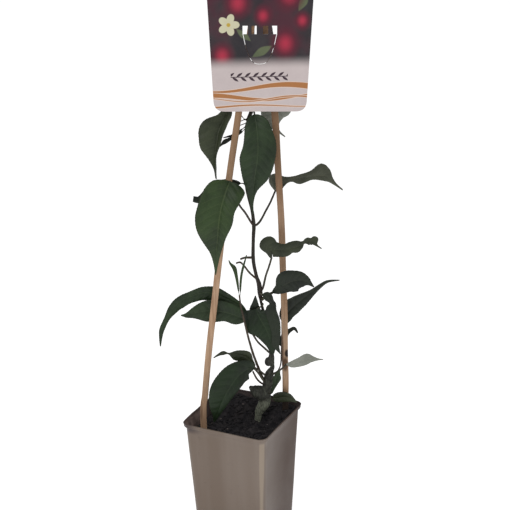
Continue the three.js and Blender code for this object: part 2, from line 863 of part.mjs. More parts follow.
function labelGeometry() {
  const outline = labelOutline();
  outline.holes.push(tongueCut());
  const plate = new THREE.ExtrudeGeometry(outline, {
    depth: LABEL_THICKNESS,
    bevelEnabled: false,
    curveSegments: 5,
  });
  plate.rotateX(Math.PI / 2);
  let solid = toSolid(plate);
  const [near, far] = WINDOW_INNER;
  for (const side of [-1, 1]) {
    const pane = new THREE.BoxGeometry(far - near, 4 * LABEL_THICKNESS, WINDOW_HIGH - WINDOW_LOW);
    pane.translate(HANGER_MIDDLE + side * (near + far) / 2, 0, (WINDOW_LOW + WINDOW_HIGH) / 2);
    solid = solid.subtract(toSolid(pane));
  }
  const tilted = fromSolid(solid);
  tilted.rotateY(THREE.MathUtils.degToRad(-LABEL_TILT_DEG));
  tilted.translate(LABEL_CENTRE_X, LABEL_BACK_Y, LABEL_BOTTOM_Z);
  solid = toSolid(tilted);
  for (const x of [STRAP_INSIDE.left - STRAP_THICKNESS / 2, STRAP_INSIDE.right + STRAP_THICKNESS / 2]) {
    const width = STRAP_THICKNESS + 2 * GAP;
    const slot = new THREE.BoxGeometry(width, 5 * LABEL_THICKNESS, STRAP_HEIGHT + 2 * GAP);
    slot.translate(x, LABEL_BACK_Y, STRAP_Z);
    solid = solid.subtract(toSolid(slot));
  }
  return fromSolid(solid);
}

// Strap round the crossed canes and through the label's two upper slots

function strapGeometry() {
  const { left, right, front, back } = STRAP_INSIDE;
  const block = (grow, height) => {
    const geometry = new THREE.BoxGeometry(right - left + 2 * grow, back - front + 2 * grow, height);
    geometry.translate((left + right) / 2, (front + back) / 2, STRAP_Z);
    return toSolid(geometry);
  };
  return fromSolid(block(STRAP_THICKNESS, STRAP_HEIGHT).subtract(block(0, 2 * STRAP_HEIGHT)));
}

// Main stem with its stump and bud

function stemSolid(extra = 0) {
  const bud = new THREE.SphereGeometry(1, 10, 8);
  bud.scale(BUD_RADII[0] + extra, BUD_RADII[1] + extra, BUD_RADII[2] + extra);
  bud.translate(...BUD_CENTRE);
  return toSolid(tube(STEM, STEM_SIDES, 2, extra))
    .add(toSolid(tube(BRANCH_STUMP, STEM_SIDES, 2, extra)))
    .add(toSolid(tube(BUD_STALK, STEM_SIDES, 2, extra)))
    .add(toSolid(bud));
}

// Leaf: a thin blade on both sides of a curved midrib, joined to its stalk

function bladeGeometry({ ribs, lift = [[0, 0], [0, 0]], baseRound = 0.1 }) {
  const samples = sampleRows(ribs, BLADE_STEPS);
  const points = samples.map(vec);
  const directions = tangents(points);
  const front = new THREE.Vector3(0, -1, 0);
  const rings = points.map((point, i) => {
    const t = i / (points.length - 1);
    const along = directions[i];
    const facing = front.clone().addScaledVector(along, -front.dot(along)).normalize();
    const across = along.clone().cross(facing);
    const near = Math.min(t / baseRound, 1);
    const rounding = Math.sqrt(1 - (1 - near) ** 2);
    const halves = [1, -1].map((sign, k) => {
      const angle = THREE.MathUtils.degToRad(lift[k][0] + (lift[k][1] - lift[k][0]) * t);
      const [cos, sin] = [Math.cos(angle), Math.sin(angle)];
      const width = Math.max(samples[i][3 + k] * rounding, LEAF_EDGE_HALF) / cos;
      const out = across.clone().multiplyScalar(sign * cos).addScaledVector(facing, sin);
      const normal = facing.clone().multiplyScalar(cos).addScaledVector(across, -sign * sin);
      return { edge: point.clone().addScaledVector(out, width), normal };
    });
    const middleNormal = halves[0].normal.clone().add(halves[1].normal).normalize();
    const thick = LEAF_THICKNESS / 2;
    return [
      halves[0].edge.clone().addScaledVector(halves[0].normal, thick),
      halves[0].edge.clone().addScaledVector(halves[0].normal, -thick),
      point.clone().addScaledVector(middleNormal, -thick),
      halves[1].edge.clone().addScaledVector(halves[1].normal, -thick),
      halves[1].edge.clone().addScaledVector(halves[1].normal, thick),
      point.clone().addScaledVector(middleNormal, thick),
    ];
  });
  return loft(rings);
}

function stalkSolid({ stalk, stalkRadius }, extra = 0) {
  const rows = withRadii(stalk, stalkRadius, stalkRadius * STALK_TAPER);
  return toSolid(tube(rows, STALK_SIDES, 2, extra));
}

// Assembly

const object = new THREE.Group();
const plant = new THREE.Group();
plant.rotation.z = THREE.MathUtils.degToRad(PLANT_TURN_DEG);
object.add(plant);

function addPiece(parent, name, geometry, material) {
  const mesh = new THREE.Mesh(geometry, material);
  mesh.name = name;
  parent.add(mesh);
}

function turnedWithPlant(geometry) {
  return geometry.applyMatrix4(new THREE.Matrix4().makeRotationZ(plant.rotation.z));
}

const holes = [
  toSolid(turnedWithPlant(tube(STEM, STEM_SIDES, 2, GAP))),
  ...Object.values(CANES).map((points) => toSolid(turnedWithPlant(caneGeometry(points, GAP)))),
];

addPiece(object, 'pot', potGeometry(), MATERIALS.pot);
addPiece(object, 'soil', soilGeometry(holes), MATERIALS.soil);
for (const [name, points] of Object.entries(CANES)) {
  addPiece(plant, name, caneGeometry(points), MATERIALS.cane);
}
addPiece(plant, 'care_label', labelGeometry(), MATERIALS.label);
addPiece(plant, 'cane_strap', strapGeometry(), MATERIALS.strap);
addPiece(plant, 'main_stem', fromSolid(stemSolid()), MATERIALS.stem);

const stemSeat = stemSolid(GAP);
for (const { name, points, radii } of SHOOTS) {
  const shoot = toSolid(tube(withRadii(points, ...radii), STALK_SIDES));
  addPiece(plant, name, fromSolid(largestBody(shoot.subtract(stemSeat))), MATERIALS.shoot);
}

const seats = {
  side_shoot: toSolid(tube(withRadii(SHOOTS[0].points, ...SHOOTS[0].radii), STALK_SIDES, 2, GAP)),
  leaf_right_long: stalkSolid(LEAVES.find(({ name }) => name === 'leaf_right_long'), GAP),
};
for (const leaf of LEAVES) {
  const whole = toSolid(bladeGeometry(leaf)).add(stalkSolid(leaf));
  const seat = seats[leaf.carriedBy] ?? stemSeat;
  addPiece(plant, leaf.name, fromSolid(largestBody(whole.subtract(seat))), MATERIALS.leaf);
}

export default object;
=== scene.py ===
import math
import random

import bmesh
import bpy
import numpy as np
from mathutils import Matrix, Vector, noise
from mathutils.geometry import tessellate_polygon


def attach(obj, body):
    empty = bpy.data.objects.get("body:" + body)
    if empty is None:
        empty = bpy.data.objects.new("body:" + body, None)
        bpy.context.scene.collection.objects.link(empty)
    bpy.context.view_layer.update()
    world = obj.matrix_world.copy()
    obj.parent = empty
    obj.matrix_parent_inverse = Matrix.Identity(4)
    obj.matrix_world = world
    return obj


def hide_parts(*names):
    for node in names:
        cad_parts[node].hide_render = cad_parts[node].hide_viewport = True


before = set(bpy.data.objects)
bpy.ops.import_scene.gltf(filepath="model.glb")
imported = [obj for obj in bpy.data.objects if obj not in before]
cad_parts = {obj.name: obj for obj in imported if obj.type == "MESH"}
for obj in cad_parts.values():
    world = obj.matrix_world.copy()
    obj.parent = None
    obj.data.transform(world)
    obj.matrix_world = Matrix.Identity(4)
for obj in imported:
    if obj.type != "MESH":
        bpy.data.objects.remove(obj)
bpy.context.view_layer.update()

# A young hardy kiwi vine on two canes, in a tall square nursery pot, with a hanging care label.
# Shapes are in millimetres and become metres when a piece is made. The pot and the soil use the
# frame's own directions. The rest uses the plant's: x across the label, y away from its front.

MM = 0.001
PLANT_TURN = math.radians(26.55)
FRONT = np.array([0, -1, 0.0])

POT_HEIGHT = 215
POT_BASE_HALF = 42.2
POT_WALL_TOP_HALF = 52.4
POT_RIM_HALF = 55.6
POT_RIM_DEPTH = 5
POT_CORNER = 9
POT_WALL = 1.6
POT_FLOOR = 2.4
POT_TAPER = (POT_WALL_TOP_HALF - POT_BASE_HALF) / POT_HEIGHT
# The middle of a painted highlight on the pot's inside wall near the back corner: x and y
POT_PAINTED_HIGHLIGHT = (-52, 44)
DRAIN_RADIUS = 5
DRAIN_OFFSET = 27
DRAIN_SIDES = 40

SOIL_LEVEL = 197
SOIL_BUMP = 2.2
SOIL_RINGS = 50
CRUMBS = 1100
PALE_CRUMBS = 0.012

# The compost is banked up along the pot's back, most of all to the right
BANK_HEIGHT = 13
BANK_START_Y = 12
BANK_END_Y = 40
BANK_LEFT_SHARE = 0.45
BANK_LEFT_X = -50
BANK_FULL_X = -30

CANE_WIDTH = 7.6
CANE_THICKNESS = 3.6
CANE_EASE = 0.9
CANE_STEPS = 14

LABEL_THICKNESS = 0.8
LABEL_BACK_Y = -2
LABEL_CENTRE_X = 28.3
LABEL_BOTTOM_Z = 583
LABEL_TOP_Z = 738
LABEL_BOTTOM_HALF = 50.7
LABEL_TOP_HALF = 57.8
LABEL_TILT = math.radians(1.2)
LABEL_CORNER = 11

# The label's punched hanger: four windows in a row, and a tongue cut free under them.
# Heights are over the label's bottom edge, and the hanger's middle lies right of the label's.
HANGER_MIDDLE = -0.4
WINDOW_LOW = 84.5
WINDOW_HIGH = 93.5
WINDOW_OUTER = (12.8, 18.5)
WINDOW_INNER = (3.4, 9)
TONGUE_LOW = 52
TONGUE_KNEE_HALF = 14.5
TONGUE_KNEE_HEIGHT = 68
TONGUE_SLIT = 0.5

STRAP_THICKNESS = 0.9
STRAP_HEIGHT = 4.5
STRAP_Z = 731
STRAP_LEFT = 23.8
STRAP_RIGHT = 36.2
STRAP_FRONT = -3.1
STRAP_BACK = 7
STRAP_GAP = 0.3

# The strap's section: parts of its thickness and of its height
STRAP_SECTION = [
    (0, -0.42), (0.25, -0.5), (0.75, -0.5), (1, -0.42), (1, 0.42), (0.75, 0.5), (0.25, 0.5), (0, 0.42),
]

STEM_SIDES = 20
STEM_VOXEL = 0.55

BLADE_THICKNESS = 0.36
BLADE_EDGE_HALF = 0.35
BLADE_SPACING = 0.8
BLADE_COLUMNS = 13
BLADE_BEND = 14
STALK_SIDES = 10
STALK_SPACING = 0.8
LEAF_STALK_SPACING = 0.9
STALK_TAPER = 0.8

# The vine's main stem, from just under the soil to its tip behind the label: x, y, z and radius
STEM = [
    [17.5, 8, 191, 4], [18, 8, 201, 3.9], [19, 8, 208, 4.4], [21.5, 8, 214.5, 5.8], [26, 8, 222.5, 7],
    [28, 8, 232, 6.4], [29.5, 7, 243, 5.4], [31, 6, 251, 6], [32.5, 6, 260, 5.4], [34.5, 6, 266, 4],
    [36.5, 6, 270, 2.7], [37, 5, 278, 2.2], [37, 5, 287, 2.1], [33, 5, 313, 2.1], [27.5, 5, 342, 1.8],
    [24.5, 6, 357, 1.6], [24, 6, 366, 3], [23, 6, 377, 2.8], [20, 6, 388, 2.1], [17, 6, 407, 2.1],
    [17.5, 6, 431, 2], [18.5, 6, 448, 2.2], [17, 6, 466, 1.9], [13, 7, 483, 1.6], [11, 8, 495, 1.5],
    [12, 9, 514, 1.4], [15, 10, 537, 1.4], [14, 10, 559, 1.4], [14.5, 10, 571, 1.6], [18.5, 10, 580, 2.3],
    [20.5, 10, 590, 2.8], [21, 10, 610, 1.5], [22, 10, 643, 1.3], [23, 9, 670, 1.2], [24, 8, 697, 1],
]

# The stump of an older branch low on the stem, and a bud on its own short stalk above it
BRANCH_STUMP = [
    [28, 8, 234, 8.5], [20, 6.5, 238, 8.6], [15, 5.5, 241.5, 6.2], [11.5, 4.5, 244.5, 3.2],
    [9.5, 4, 247, 2],
]
BUD_STALK = [[35, 5, 297, 1.3], [34.5, 5, 290, 1.3], [33, 5, 282, 1.6]]
BUD_CENTRE = (32, 5, 278.5)
BUD_RADIUS = 4.4
BUD_HALF_HEIGHT = 5.8

# Short, thin twigs at the stem's top
TWIG_RADIUS = 0.6
TWIGS = [
    [[6.6, 9.5, 577.5], [10.4, 9.8, 572.3], [15, 10, 569]],
    [[6, 9.5, 569.5], [11, 9.8, 571.5], [16, 10, 573]],
    [[5.8, 9.5, 565], [11.3, 9.8, 567.1], [15, 10, 569]],
]

# Each cane is a lath: the centre of its section at each height
CANES = {
    "cane_left": [
        [-43, -8.5, 40], [-47, -8, 203], [-43.5, -7.5, 247], [-37, -6, 303], [-29, -4.5, 360],
        [-22, -3.5, 412], [-15.2, -2.2, 459], [-7, -1, 513], [3.8, 0.2, 576], [11.2, 0.4, 621],
        [20, 0.5, 671], [30, 0.5, 742],
    ],
    "cane_right": [
        [46, 15, 40], [52, 15, 223], [52, 14, 282], [52, 14, 341], [51, 12, 398], [50, 11, 453],
        [47.5, 9, 509], [45, 7.5, 571], [41, 6, 621], [36.5, 5, 671], [31, 4.8, 742],
    ],
}

# Knots and stains on the canes, and strips of painted shade down their left edges: the middle's x
# and z, a factor on heights (below 1 the mark is tall), the radius, the strength and the colour
CANE_MARKS = [
    ((54.6, 285.5), 0.6, 4, 0.97, (30, 22, 17)),
    ((52, 271), 0.4, 4.6, 0.85, (78, 52, 34)),
    # Painted shade: a narrow dark strip down the right cane's left edge
    ((48.6, 290), 0.08, 2.6, 0.8, (74, 50, 34)),
    # Painted shade: a narrow dark strip down the left cane's left edge
    ((-49.5, 226), 0.12, 2.4, 0.5, (66, 44, 30)),
]

# Thin growth with no blade: x, y, z along it, then its radii at the start and the end
SHOOTS = {
    "side_shoot": ([
        [29, 6, 250], [25.5, 5, 256], [20, 3, 272], [15.2, -4, 290], [11.4, -12, 308], [7.9, -15, 325],
        [4.4, -14, 343], [1.2, -10, 357], [0, -7, 369],
    ], (1.8, 0.9)),
    "bare_stalk_upper": ([[17, 6, 411], [14, 6, 410], [8, 5, 410.5], [2, 4, 409]], (1.5, 1.2)),
    "bare_stalk_middle": ([[20, 6, 384], [13, 5, 391], [6, 4, 401], [2, 3, 405.5], [-3, 2, 405]], (1.3, 1)),
    "bare_stalk_base": ([[27, 6, 248], [21.5, 1, 254], [17, -1, 261], [13.5, -1, 269]], (1.2, 1.1)),
}

# Each leaf: its tone, its stalk's radius, its stalk's points from the stem's axis to the blade, its
# ribs, and what else shapes it. A rib is x, y, z on the midrib and the blade's half widths there,
# seen from the front. lift is each half's angle towards the front, at the base and at the tip.
# curl rolls one half's margin towards the front: the half, the stretch of the length, where across
# the half it starts, and its angle. base_round is the part of the length in which the blade gets
# its full width.
LEAVES = {
    "leaf_top_left": ("dull", 0.9, [[21, 10, 612], [13, 11, 607], [3, 12, 596], [-5, 12, 586.5]], [
        [-5, 12, 586.5, 5.5, 4.5], [-10.5, 9.5, 574, 9, 5], [-17, 4, 561.5, 21.5, 5],
        [-20, 0, 549, 20.5, 4], [-22, -1, 538, 16, 2], [-23.5, 0, 527.5, 6, 2],
        [-23.5, 2, 517.5, 1.5, 1.5], [-22.5, 4, 506, 1, 1],
    ], {"lift": [[0, 0], [60, 65]]}),
    "leaf_top_centre": ("deep", 1.2, [[19, 10, 590], [21, 7, 587], [22, 2, 579]], [
        [22, 2, 579, 9, 9], [24, -6, 565, 13, 15.5], [25, -10, 548, 16, 20], [24, -12, 531, 19.5, 19],
        [21, -11, 512, 14.5, 15], [19, -8, 495, 8, 4.5], [18, -5, 480, 3.5, 1], [18, -2, 465, 0.6, 0.6],
    ], {"lift": [[8, 8], [10, 10]]}),
    "leaf_big_left": ("fresh", 1.4, [
        [18.5, 6, 448], [14, 4, 456], [9, 1, 466], [3, -3, 476], [-3, -10, 492], [-7, -14, 508],
    ], [
        [-7, -14, 508, 10, 19], [-12, -22, 497, 22.5, 19.5], [-17, -28, 481, 26, 15.5],
        [-20, -31, 465, 26.5, 14.5], [-22, -30, 447, 19.5, 8.5], [-24, -27, 429, 7.5, 5],
        [-25, -24, 415, 3, 2.5], [-26, -21, 400, 0.6, 0.6],
    ], {"lift": [[10, 10], [20, 20]]}),
    "leaf_behind_left": ("dark", 0.8, [[11, 8, 495], [8, 5, 499], [5, 3, 500]], [
        [5, 3, 500, 2, 2], [-5, 6, 500, 4, 4.5], [-17, 8, 498, 5, 5.5], [-31, 8, 489, 5.5, 5.5],
        [-42, 7, 481, 4, 4.2], [-49.5, 6, 482, 3.4, 3.4],
    ], {}),
    "leaf_right_wavy": ("grey", 1.4, [
        [18.5, 6, 448], [23, 8, 450], [27, 11, 454], [32, 15, 462], [38, 19, 472], [44, 24, 484],
    ], [
        [43.5, 24, 484, 3.5, 3.5], [46, 24, 492, 6.5, 10], [55, 23, 497, 4, 3], [63, 22, 498, 2, 2.5],
        [72, 21, 499, 4.5, 3.5], [85, 20, 501, 2.5, 5.5], [96.5, 20, 502, 4, 11], [102, 20, 501, 4.2, 8],
        [107.5, 20, 497, 2.5, 3], [113, 21, 491, 1.2, 1.2], [121, 22, 484, 0.6, 0.6],
    ], {"lift": [[60, 60], [-50, -40]]}),
    "leaf_right_curled": ("dull", 1.4, [
        [24, 6, 368], [27.5, 5, 373], [31, 1, 389], [35, -2, 402], [38, -4, 413],
    ], [
        [37.5, -4, 412, 2.5, 2.5], [36, -6, 419.5, 4, 4.5], [37.5, -8, 424.5, 9, 16],
        [44, -9, 424.5, 9, 8.5], [53.5, -10, 424, 8, 7], [60, -10, 426, 6, 7.5],
        [66.5, -10, 427.5, 7, 7.5], [71.5, -9, 429, 4, 5.5], [75, -8, 431, 1, 3], [79, -8, 433, 4.5, 4.5],
        [83, -8, 433, 4, 4], [86, -8, 432.5, 4.5, 6.5], [89, -8, 428.5, 1.5, 1.5],
        [95, -7, 423.5, 0.5, 0.5],
    ], {}),
    "leaf_right_dark": ("dark", 2, [[26, 5.5, 358], [32, 3, 364], [38, -2, 369]], [
        [38, -2, 369, 2.5, 2.5], [46, -5, 375, 7.5, 6], [55, -9, 383, 12.5, 15], [67, -10, 387, 13, 11.5],
        [76, -9, 385, 7, 7], [81, -8, 382, 3, 3], [86, -7, 377, 0.6, 0.6],
    ], {}),
    "leaf_right_long": ("dark", 0.9, [
        [33, 7, 260], [38, 9, 260], [43, 13, 262], [47, 21, 268], [48, 23, 283], [49, 24, 298],
        [52, 23, 319],
    ], [
        [52, 23, 319, 6, 3.5], [55, 24, 331, 8.5, 9], [63, 25, 340, 9.5, 12], [74, 26, 349, 8, 8.5],
        [85, 26, 358, 5, 3.5], [95, 26, 366, 3.2, 2], [104, 26, 371, 2, 1.5], [118, 26, 372, 0.6, 0.6],
    ], {"curl": (1, 0.25, 1, 0.6, 140)}),
    "leaf_small_curl": ("dark", 0.6, [[48, 23, 283], [48, 25.5, 285], [48, 27, 288]], [
        [48, 27, 288, 3, 3], [50, 27, 296, 4.5, 4.5], [54, 26, 305, 3.5, 4], [59, 25, 310, 2.5, 2.5],
        [64, 24, 312.5, 2, 2], [68, 23, 307, 0.8, 0.8],
    ], {}),
    "leaf_pale_right": ("pale", 1.3, [
        [34, 5, 264], [38, 2.5, 264], [44, 3.5, 267], [49, 5, 270], [53, 4, 275],
    ], [
        [53, 4, 275, 1.2, 1.2], [60, 2, 276, 4.5, 4], [69, 0, 280, 6.2, 5.2], [78, 0, 283, 6.2, 7],
        [85, 0, 283, 3.5, 3.5], [91.5, 0, 282.5, 1.4, 1], [97, 1, 281.5, 0.5, 0.5],
    ], {}),
    "leaf_left_arching": ("deep", 1, [[31, 5, 328], [22, 5, 338], [14, 4, 342], [8, 4, 343]], [
        [8, 4, 343, 3, 3.5], [-2, 6, 352, 4, 9.5], [-15, 8, 359, 6.5, 10.5], [-29, 9, 365, 8.5, 10.5],
        [-42, 9, 367, 7, 9.5], [-57, 8, 363, 6, 8], [-70, 7, 357, 6, 7.5], [-79, 6, 348, 5, 6],
        [-86, 5, 337, 3, 3.5], [-92, 4, 324, 3, 3], [-94, 4, 314, 2, 2], [-95, 4, 302, 0.6, 0.6],
    ], {"curl": (1, 0.45, 1, 0.5, 150)}),
    "leaf_left_spreading": ("deep", 1.3, [
        [35.5, 6, 288], [26, 5, 298], [20, 4, 305], [15, 3, 314], [10, 1, 325], [7, 0, 335],
    ], [
        [7, 0, 335, 7, 7], [-4, 1, 340, 10.5, 11], [-16, 2, 344, 13, 11], [-29, 3, 346, 14, 14],
        [-42, 3, 346, 12, 13], [-55, 2, 344, 6.5, 6.5], [-63, 1, 343, 2, 4], [-69, 1, 342, 0.6, 0.6],
    ], {}),
    "leaf_centre": ("shade", 1, [[25.5, 5.5, 353], [27, 2, 354], [26, -3, 353.5], [19.5, -6, 351]], [
        [19.5, -6, 351, 14.5, 3.5], [20, -7.5, 347, 16, 10.5], [22.5, -9.5, 342, 18.5, 14.5],
        [26.5, -12, 335, 20.5, 14.5], [30.5, -13.5, 327.5, 16, 11.5], [33.5, -14, 318, 11, 8.5],
        [35.5, -14, 308.5, 6, 6], [37, -13, 297, 2, 2],
    ], {"base_round": 0.05}),
    "leaf_centre_upright": ("dark", 0.8, [[33, 5, 313], [26, 3, 316], [18, 0, 322], [17, -2, 329]], [
        [17, -2, 329, 4.5, 4.5], [18, -2, 342, 6, 6], [17.5, -2, 349.5, 6, 6], [18, -2, 357, 3.5, 3.5],
        [18.5, -2, 366, 0.5, 0.5],
    ], {}),
    "leaf_node_small": ("dark", 1.4, [[24, 6, 365], [24.5, 3, 367], [26.5, -1, 367]], [
        [26.5, -1, 367, 3.5, 3.5], [32.5, -5, 365, 5, 6], [36.5, -9, 361, 3, 3.5], [38, -11, 358, 6, 4],
        [38.5, -13, 351, 8.5, 4], [40, -15, 339, 7, 6], [41.5, -16, 324.5, 5, 5],
        [41.5, -16.5, 310.5, 5, 3.5], [44, -16, 303, 2.5, 1.5], [46, -15.5, 297.5, 0.5, 0.5],
    ], {}),
    "leaf_low_left_small": ("dull", 1.2, [
        [28.5, 4, 261], [23.5, -1, 268], [19.5, -3, 272], [15.5, -4, 276],
    ], [
        [15.5, -4, 276, 3, 3], [11.5, -5, 284.5, 3, 7], [6, -6.5, 290.5, 7.5, 7], [-1, -8, 294, 6, 8],
        [-8, -8, 295, 4, 7], [-14.5, -8, 296, 1, 1], [-20.5, -8, 297, 2.5, 2.5], [-26, -8, 295, 1.5, 1.5],
        [-32.5, -7, 290.5, 0.5, 0.5],
    ], {}),
    "leaf_low_left_big": ("shade", 1.3, [
        [26.5, 2, 254], [23, -1, 261.5], [19, -4, 269.5], [15, -8, 276],
    ], [
        [15, -8, 276, 4, 4], [7, -14, 278, 12, 11], [-3, -20, 273, 18, 11], [-11, -24, 264, 20.5, 10.5],
        [-19, -26, 251, 20, 8.5], [-26, -25, 235, 13.5, 5.5], [-31, -22, 221, 4.5, 2.5],
        [-34, -20, 213, 0.6, 0.6],
    ], {}),
    "leaf_over_rim": ("dull", 1.1, [[27, 8, 230], [32, 8, 228.5], [36, 8, 228.5]], [
        [36, 8, 228.5, 3, 3.5], [41.5, 7, 229.5, 5.5, 6.5], [49, 6, 231, 6.5, 7], [55.5, 5, 231, 6, 5],
        [60.5, 4, 228.5, 3.5, 2.5], [65.5, 4, 224.5, 0.5, 0.5],
    ], {}),
    "leaf_narrow": ("deep", 0.8, [[26.5, 7.5, 238], [31, 3, 238], [35, -2, 240]], [
        [35, -2, 239.5, 1, 1], [36.5, -3, 246, 2, 2], [39, -4, 254, 3.5, 2.5], [41, -5, 261.5, 5.5, 4],
        [43, -6, 268, 3, 2], [45.5, -6, 272.5, 0.5, 0.5],
    ], {}),
    "leaf_behind_label": ("pale", 1, [
        [24, 8, 692], [31, 12, 694], [40, 17, 684], [45, 20, 650], [46, 22, 604],
    ], [
        [46, 22, 604, 9, 9], [46, 24, 590, 15.5, 15.5], [46, 25, 578, 17, 17], [45, 25, 569, 14.5, 9.5],
        [46, 24, 561, 8, 3.5], [49, 23, 554, 2, 1.5], [56, 21, 548, 0.6, 0.6],
    ], {}),
    "leaf_small_top": ("dark", 0.6, [[14, 10, 565], [11, 10.8, 560.5], [8.5, 11, 558]], [
        [8.5, 11, 558, 1.5, 1.5], [1, 11, 553.5, 1.5, 1.5], [-7, 10.5, 549, 2, 2],
        [-12, 10, 546.5, 2.5, 2.5], [-15.5, 9, 543.5, 1, 1], [-17.5, 8, 541.5, 0.5, 0.5],
    ], {}),
    "leaf_small_top_upper": ("dark", 0.6, [[14, 10, 568], [11, 12.5, 562.5], [8.5, 14, 560]], [
        [8.5, 14, 560, 1, 1], [1, 14.5, 554.5, 1, 1], [-7, 15, 551.5, 1, 1], [-13.5, 15, 550, 0.5, 0.5],
    ], {}),
    "young_leaf_left": ("fresh", 0.4, [[0, -7, 368.5], [-0.6, -7, 372]], [
        [-0.6, -7, 372, 0.7, 0.8], [-1.5, -7, 383, 1.2, 1.5], [-3, -6, 394, 1.7, 2],
        [-5, -5, 402, 2.2, 2.5], [-9, -5, 407, 1.2, 1.4], [-11, -4, 411, 0.5, 0.5],
    ], {}),
    "young_leaf_right": ("fresh", 0.4, [[0.5, -7, 367], [1.4, -7.2, 372]], [
        [1.2, -7.2, 372, 0.8, 0.8], [1.7, -7.2, 383, 1.3, 1.2], [3, -7, 394, 1.4, 1.2],
        [5, -7, 403, 1.4, 1.1], [7.5, -7, 411, 0.9, 0.9], [9.5, -7, 418, 0.5, 0.5],
    ], {}),
}

# Curves and meshes


def sample_rows(rows, steps):
    """A smooth curve through rows of numbers, with the same weights for every column."""
    rows = np.array(rows, float)
    padded = np.vstack([2 * rows[0] - rows[1], rows, 2 * rows[-1] - rows[-2]])
    samples = []
    for i in range((len(rows) - 1) * steps + 1):
        span = min(i // steps, len(rows) - 2)
        f = i / steps - span
        a, b, c, d = padded[span : span + 4]
        square = 2 * a - 5 * b + 4 * c - d
        cube = 3 * b - a - 3 * c + d
        samples.append(b + 0.5 * ((c - a) * f + square * f**2 + cube * f**3))
    return np.array(samples)


def unit(vector):
    return vector / np.linalg.norm(vector)


def tangents(points):
    ahead = np.vstack([points[1:], points[-1:]])
    behind = np.vstack([points[:1], points[:-1]])
    along = ahead - behind
    return along / np.linalg.norm(along, axis=1)[:, None]


def lengths_along(points):
    return np.concatenate([[0], np.cumsum(np.linalg.norm(np.diff(points, axis=0), axis=1))])


def smooth(low, high, x):
    f = np.clip((np.asarray(x, float) - low) / (high - low), 0, 1)
    return f * f * (3 - 2 * f)


def with_radii(points, start, end):
    last = len(points) - 1
    return [[*point, start + (end - start) * i / last] for i, point in enumerate(points)]


def fine_rows(rows, spacing):
    """The rows sampled about every spacing millimetres."""
    gap = lengths_along(np.array(rows, float)[:, :3])[-1] / (len(rows) - 1)
    return sample_rows(rows, max(2, math.ceil(gap / spacing)))


def turned(points):
    """The plant's directions to the frame's."""
    x, y, z = np.asarray(points, float).T
    c = math.cos(PLANT_TURN)
    s = math.sin(PLANT_TURN)
    return np.column_stack([x * c - y * s, x * s + y * c, z])


def band_faces(rings, count):
    """Quads between closed rings of equal length that follow each other in one vertex list."""
    faces = []
    for r in range(rings - 1):
        for i in range(count):
            a = r * count + i
            b = r * count + (i + 1) % count
            faces.append((a, b, b + count, a + count))
    return faces


def loft(rings):
    """A closed solid through rings of equal length, each anticlockwise seen from the last."""
    count = len(rings[0])
    top = (len(rings) - 1) * count
    faces = band_faces(len(rings), count)
    faces.append(tuple(reversed(range(count))))
    faces.append(tuple(range(top, top + count)))
    return np.vstack(rings), faces


def tube(samples, sides, wobble=0.0, seed=0.0):
    """A round tube through samples of x, y, z and radius, roughened by wobble millimetres."""
    points = samples[:, :3]
    directions = tangents(points)
    side = np.array([1, 0, 0.0])
    if abs(directions[0][0]) > 0.8:
        side = np.array([0, 1, 0.0])
    rings = []
    for point, along, radius in zip(points, directions, samples[:, 3]):
        side = unit(side - along * side.dot(along))
        up = np.cross(along, side)
        ring = []
        for k in range(sides):
            angle = 2 * math.pi * k / sides
            out = side * math.cos(angle) + up * math.sin(angle)
            place = point + out * radius
            rough = noise.noise(Vector(place * 0.35) + Vector((seed, 0, 0)))
            ring.append(place + out * rough * wobble)
        rings.append(np.array(ring))
    return loft(rings)


def rounded_square(half, corner, z, corner_steps=10, side_steps=14):
    """A ring round a square with round corners, anticlockwise from above."""
    reach = half - corner
    quarter = []
    for angle in np.linspace(0, math.pi / 2, corner_steps + 1):
        quarter.append((reach + corner * math.cos(angle), reach + corner * math.sin(angle)))
    for x in np.linspace(reach, -reach, side_steps + 1)[1:-1]:
        quarter.append((x, half))
    ring = []
    for c, s in ((1, 0), (0, 1), (-1, 0), (0, -1)):
        ring.extend([x * c - y * s, x * s + y * c, z] for x, y in quarter)
    return np.array(ring, float)


class Shape:
    """Vertices and faces gathered from several solids, with a material number for each face."""

    def __init__(self):
        self.vertices = []
        self.faces = []
        self.materials = []
        self.surface = []

    def add(self, vertices, faces, materials=0, surface=None):
        start = len(self.vertices)
        self.vertices.extend(np.asarray(vertices).tolist())
        self.faces.extend(tuple(start + i for i in face) for face in faces)
        self.materials.extend([materials] * len(faces) if isinstance(materials, int) else materials)
        self.surface.extend([(0, 0, 0)] * len(vertices) if surface is None else surface)

    def mesh(self, name, turn=True):
        vertices = turned(self.vertices) if turn else np.array(self.vertices)
        mesh = bpy.data.meshes.new(name)
        mesh.from_pydata((vertices * MM).tolist(), [], self.faces)
        mesh.polygons.foreach_set("material_index", self.materials)
        mesh.polygons.foreach_set("use_smooth", [True] * len(self.faces))
        layer = mesh.attributes.new("surface", "FLOAT_VECTOR", "POINT")
        layer.data.foreach_set("vector", np.array(self.surface, float).ravel())
        return mesh


def placed(name, data):
    """A new object in the scene."""
    thing = bpy.data.objects.new(name, data)
    bpy.context.scene.collection.objects.link(thing)
    return thing


def make_piece(name, mesh, materials, node):
    """An object that rides on the root and stands for its CAD node."""
    piece = placed(name, mesh)
    for material in materials:
        mesh.materials.append(material)
    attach(piece, "root")
    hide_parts(node)
    return piece


def solid_piece(name, solid, material, node):
    """A piece of one closed solid in one material."""
    shape = Shape()
    shape.add(*solid)
    make_piece(name, shape.mesh(name), [material], node)


def applied(mesh, kind, **settings):
    """The mesh after one modifier."""
    holder = placed("holder", mesh)
    modifier = holder.modifiers.new(kind.lower(), kind)
    for name, value in settings.items():
        setattr(modifier, name, value)
    graph = bpy.context.evaluated_depsgraph_get()
    done = bpy.data.meshes.new_from_object(holder.evaluated_get(graph))
    bpy.data.objects.remove(holder)
    return done


# Materials


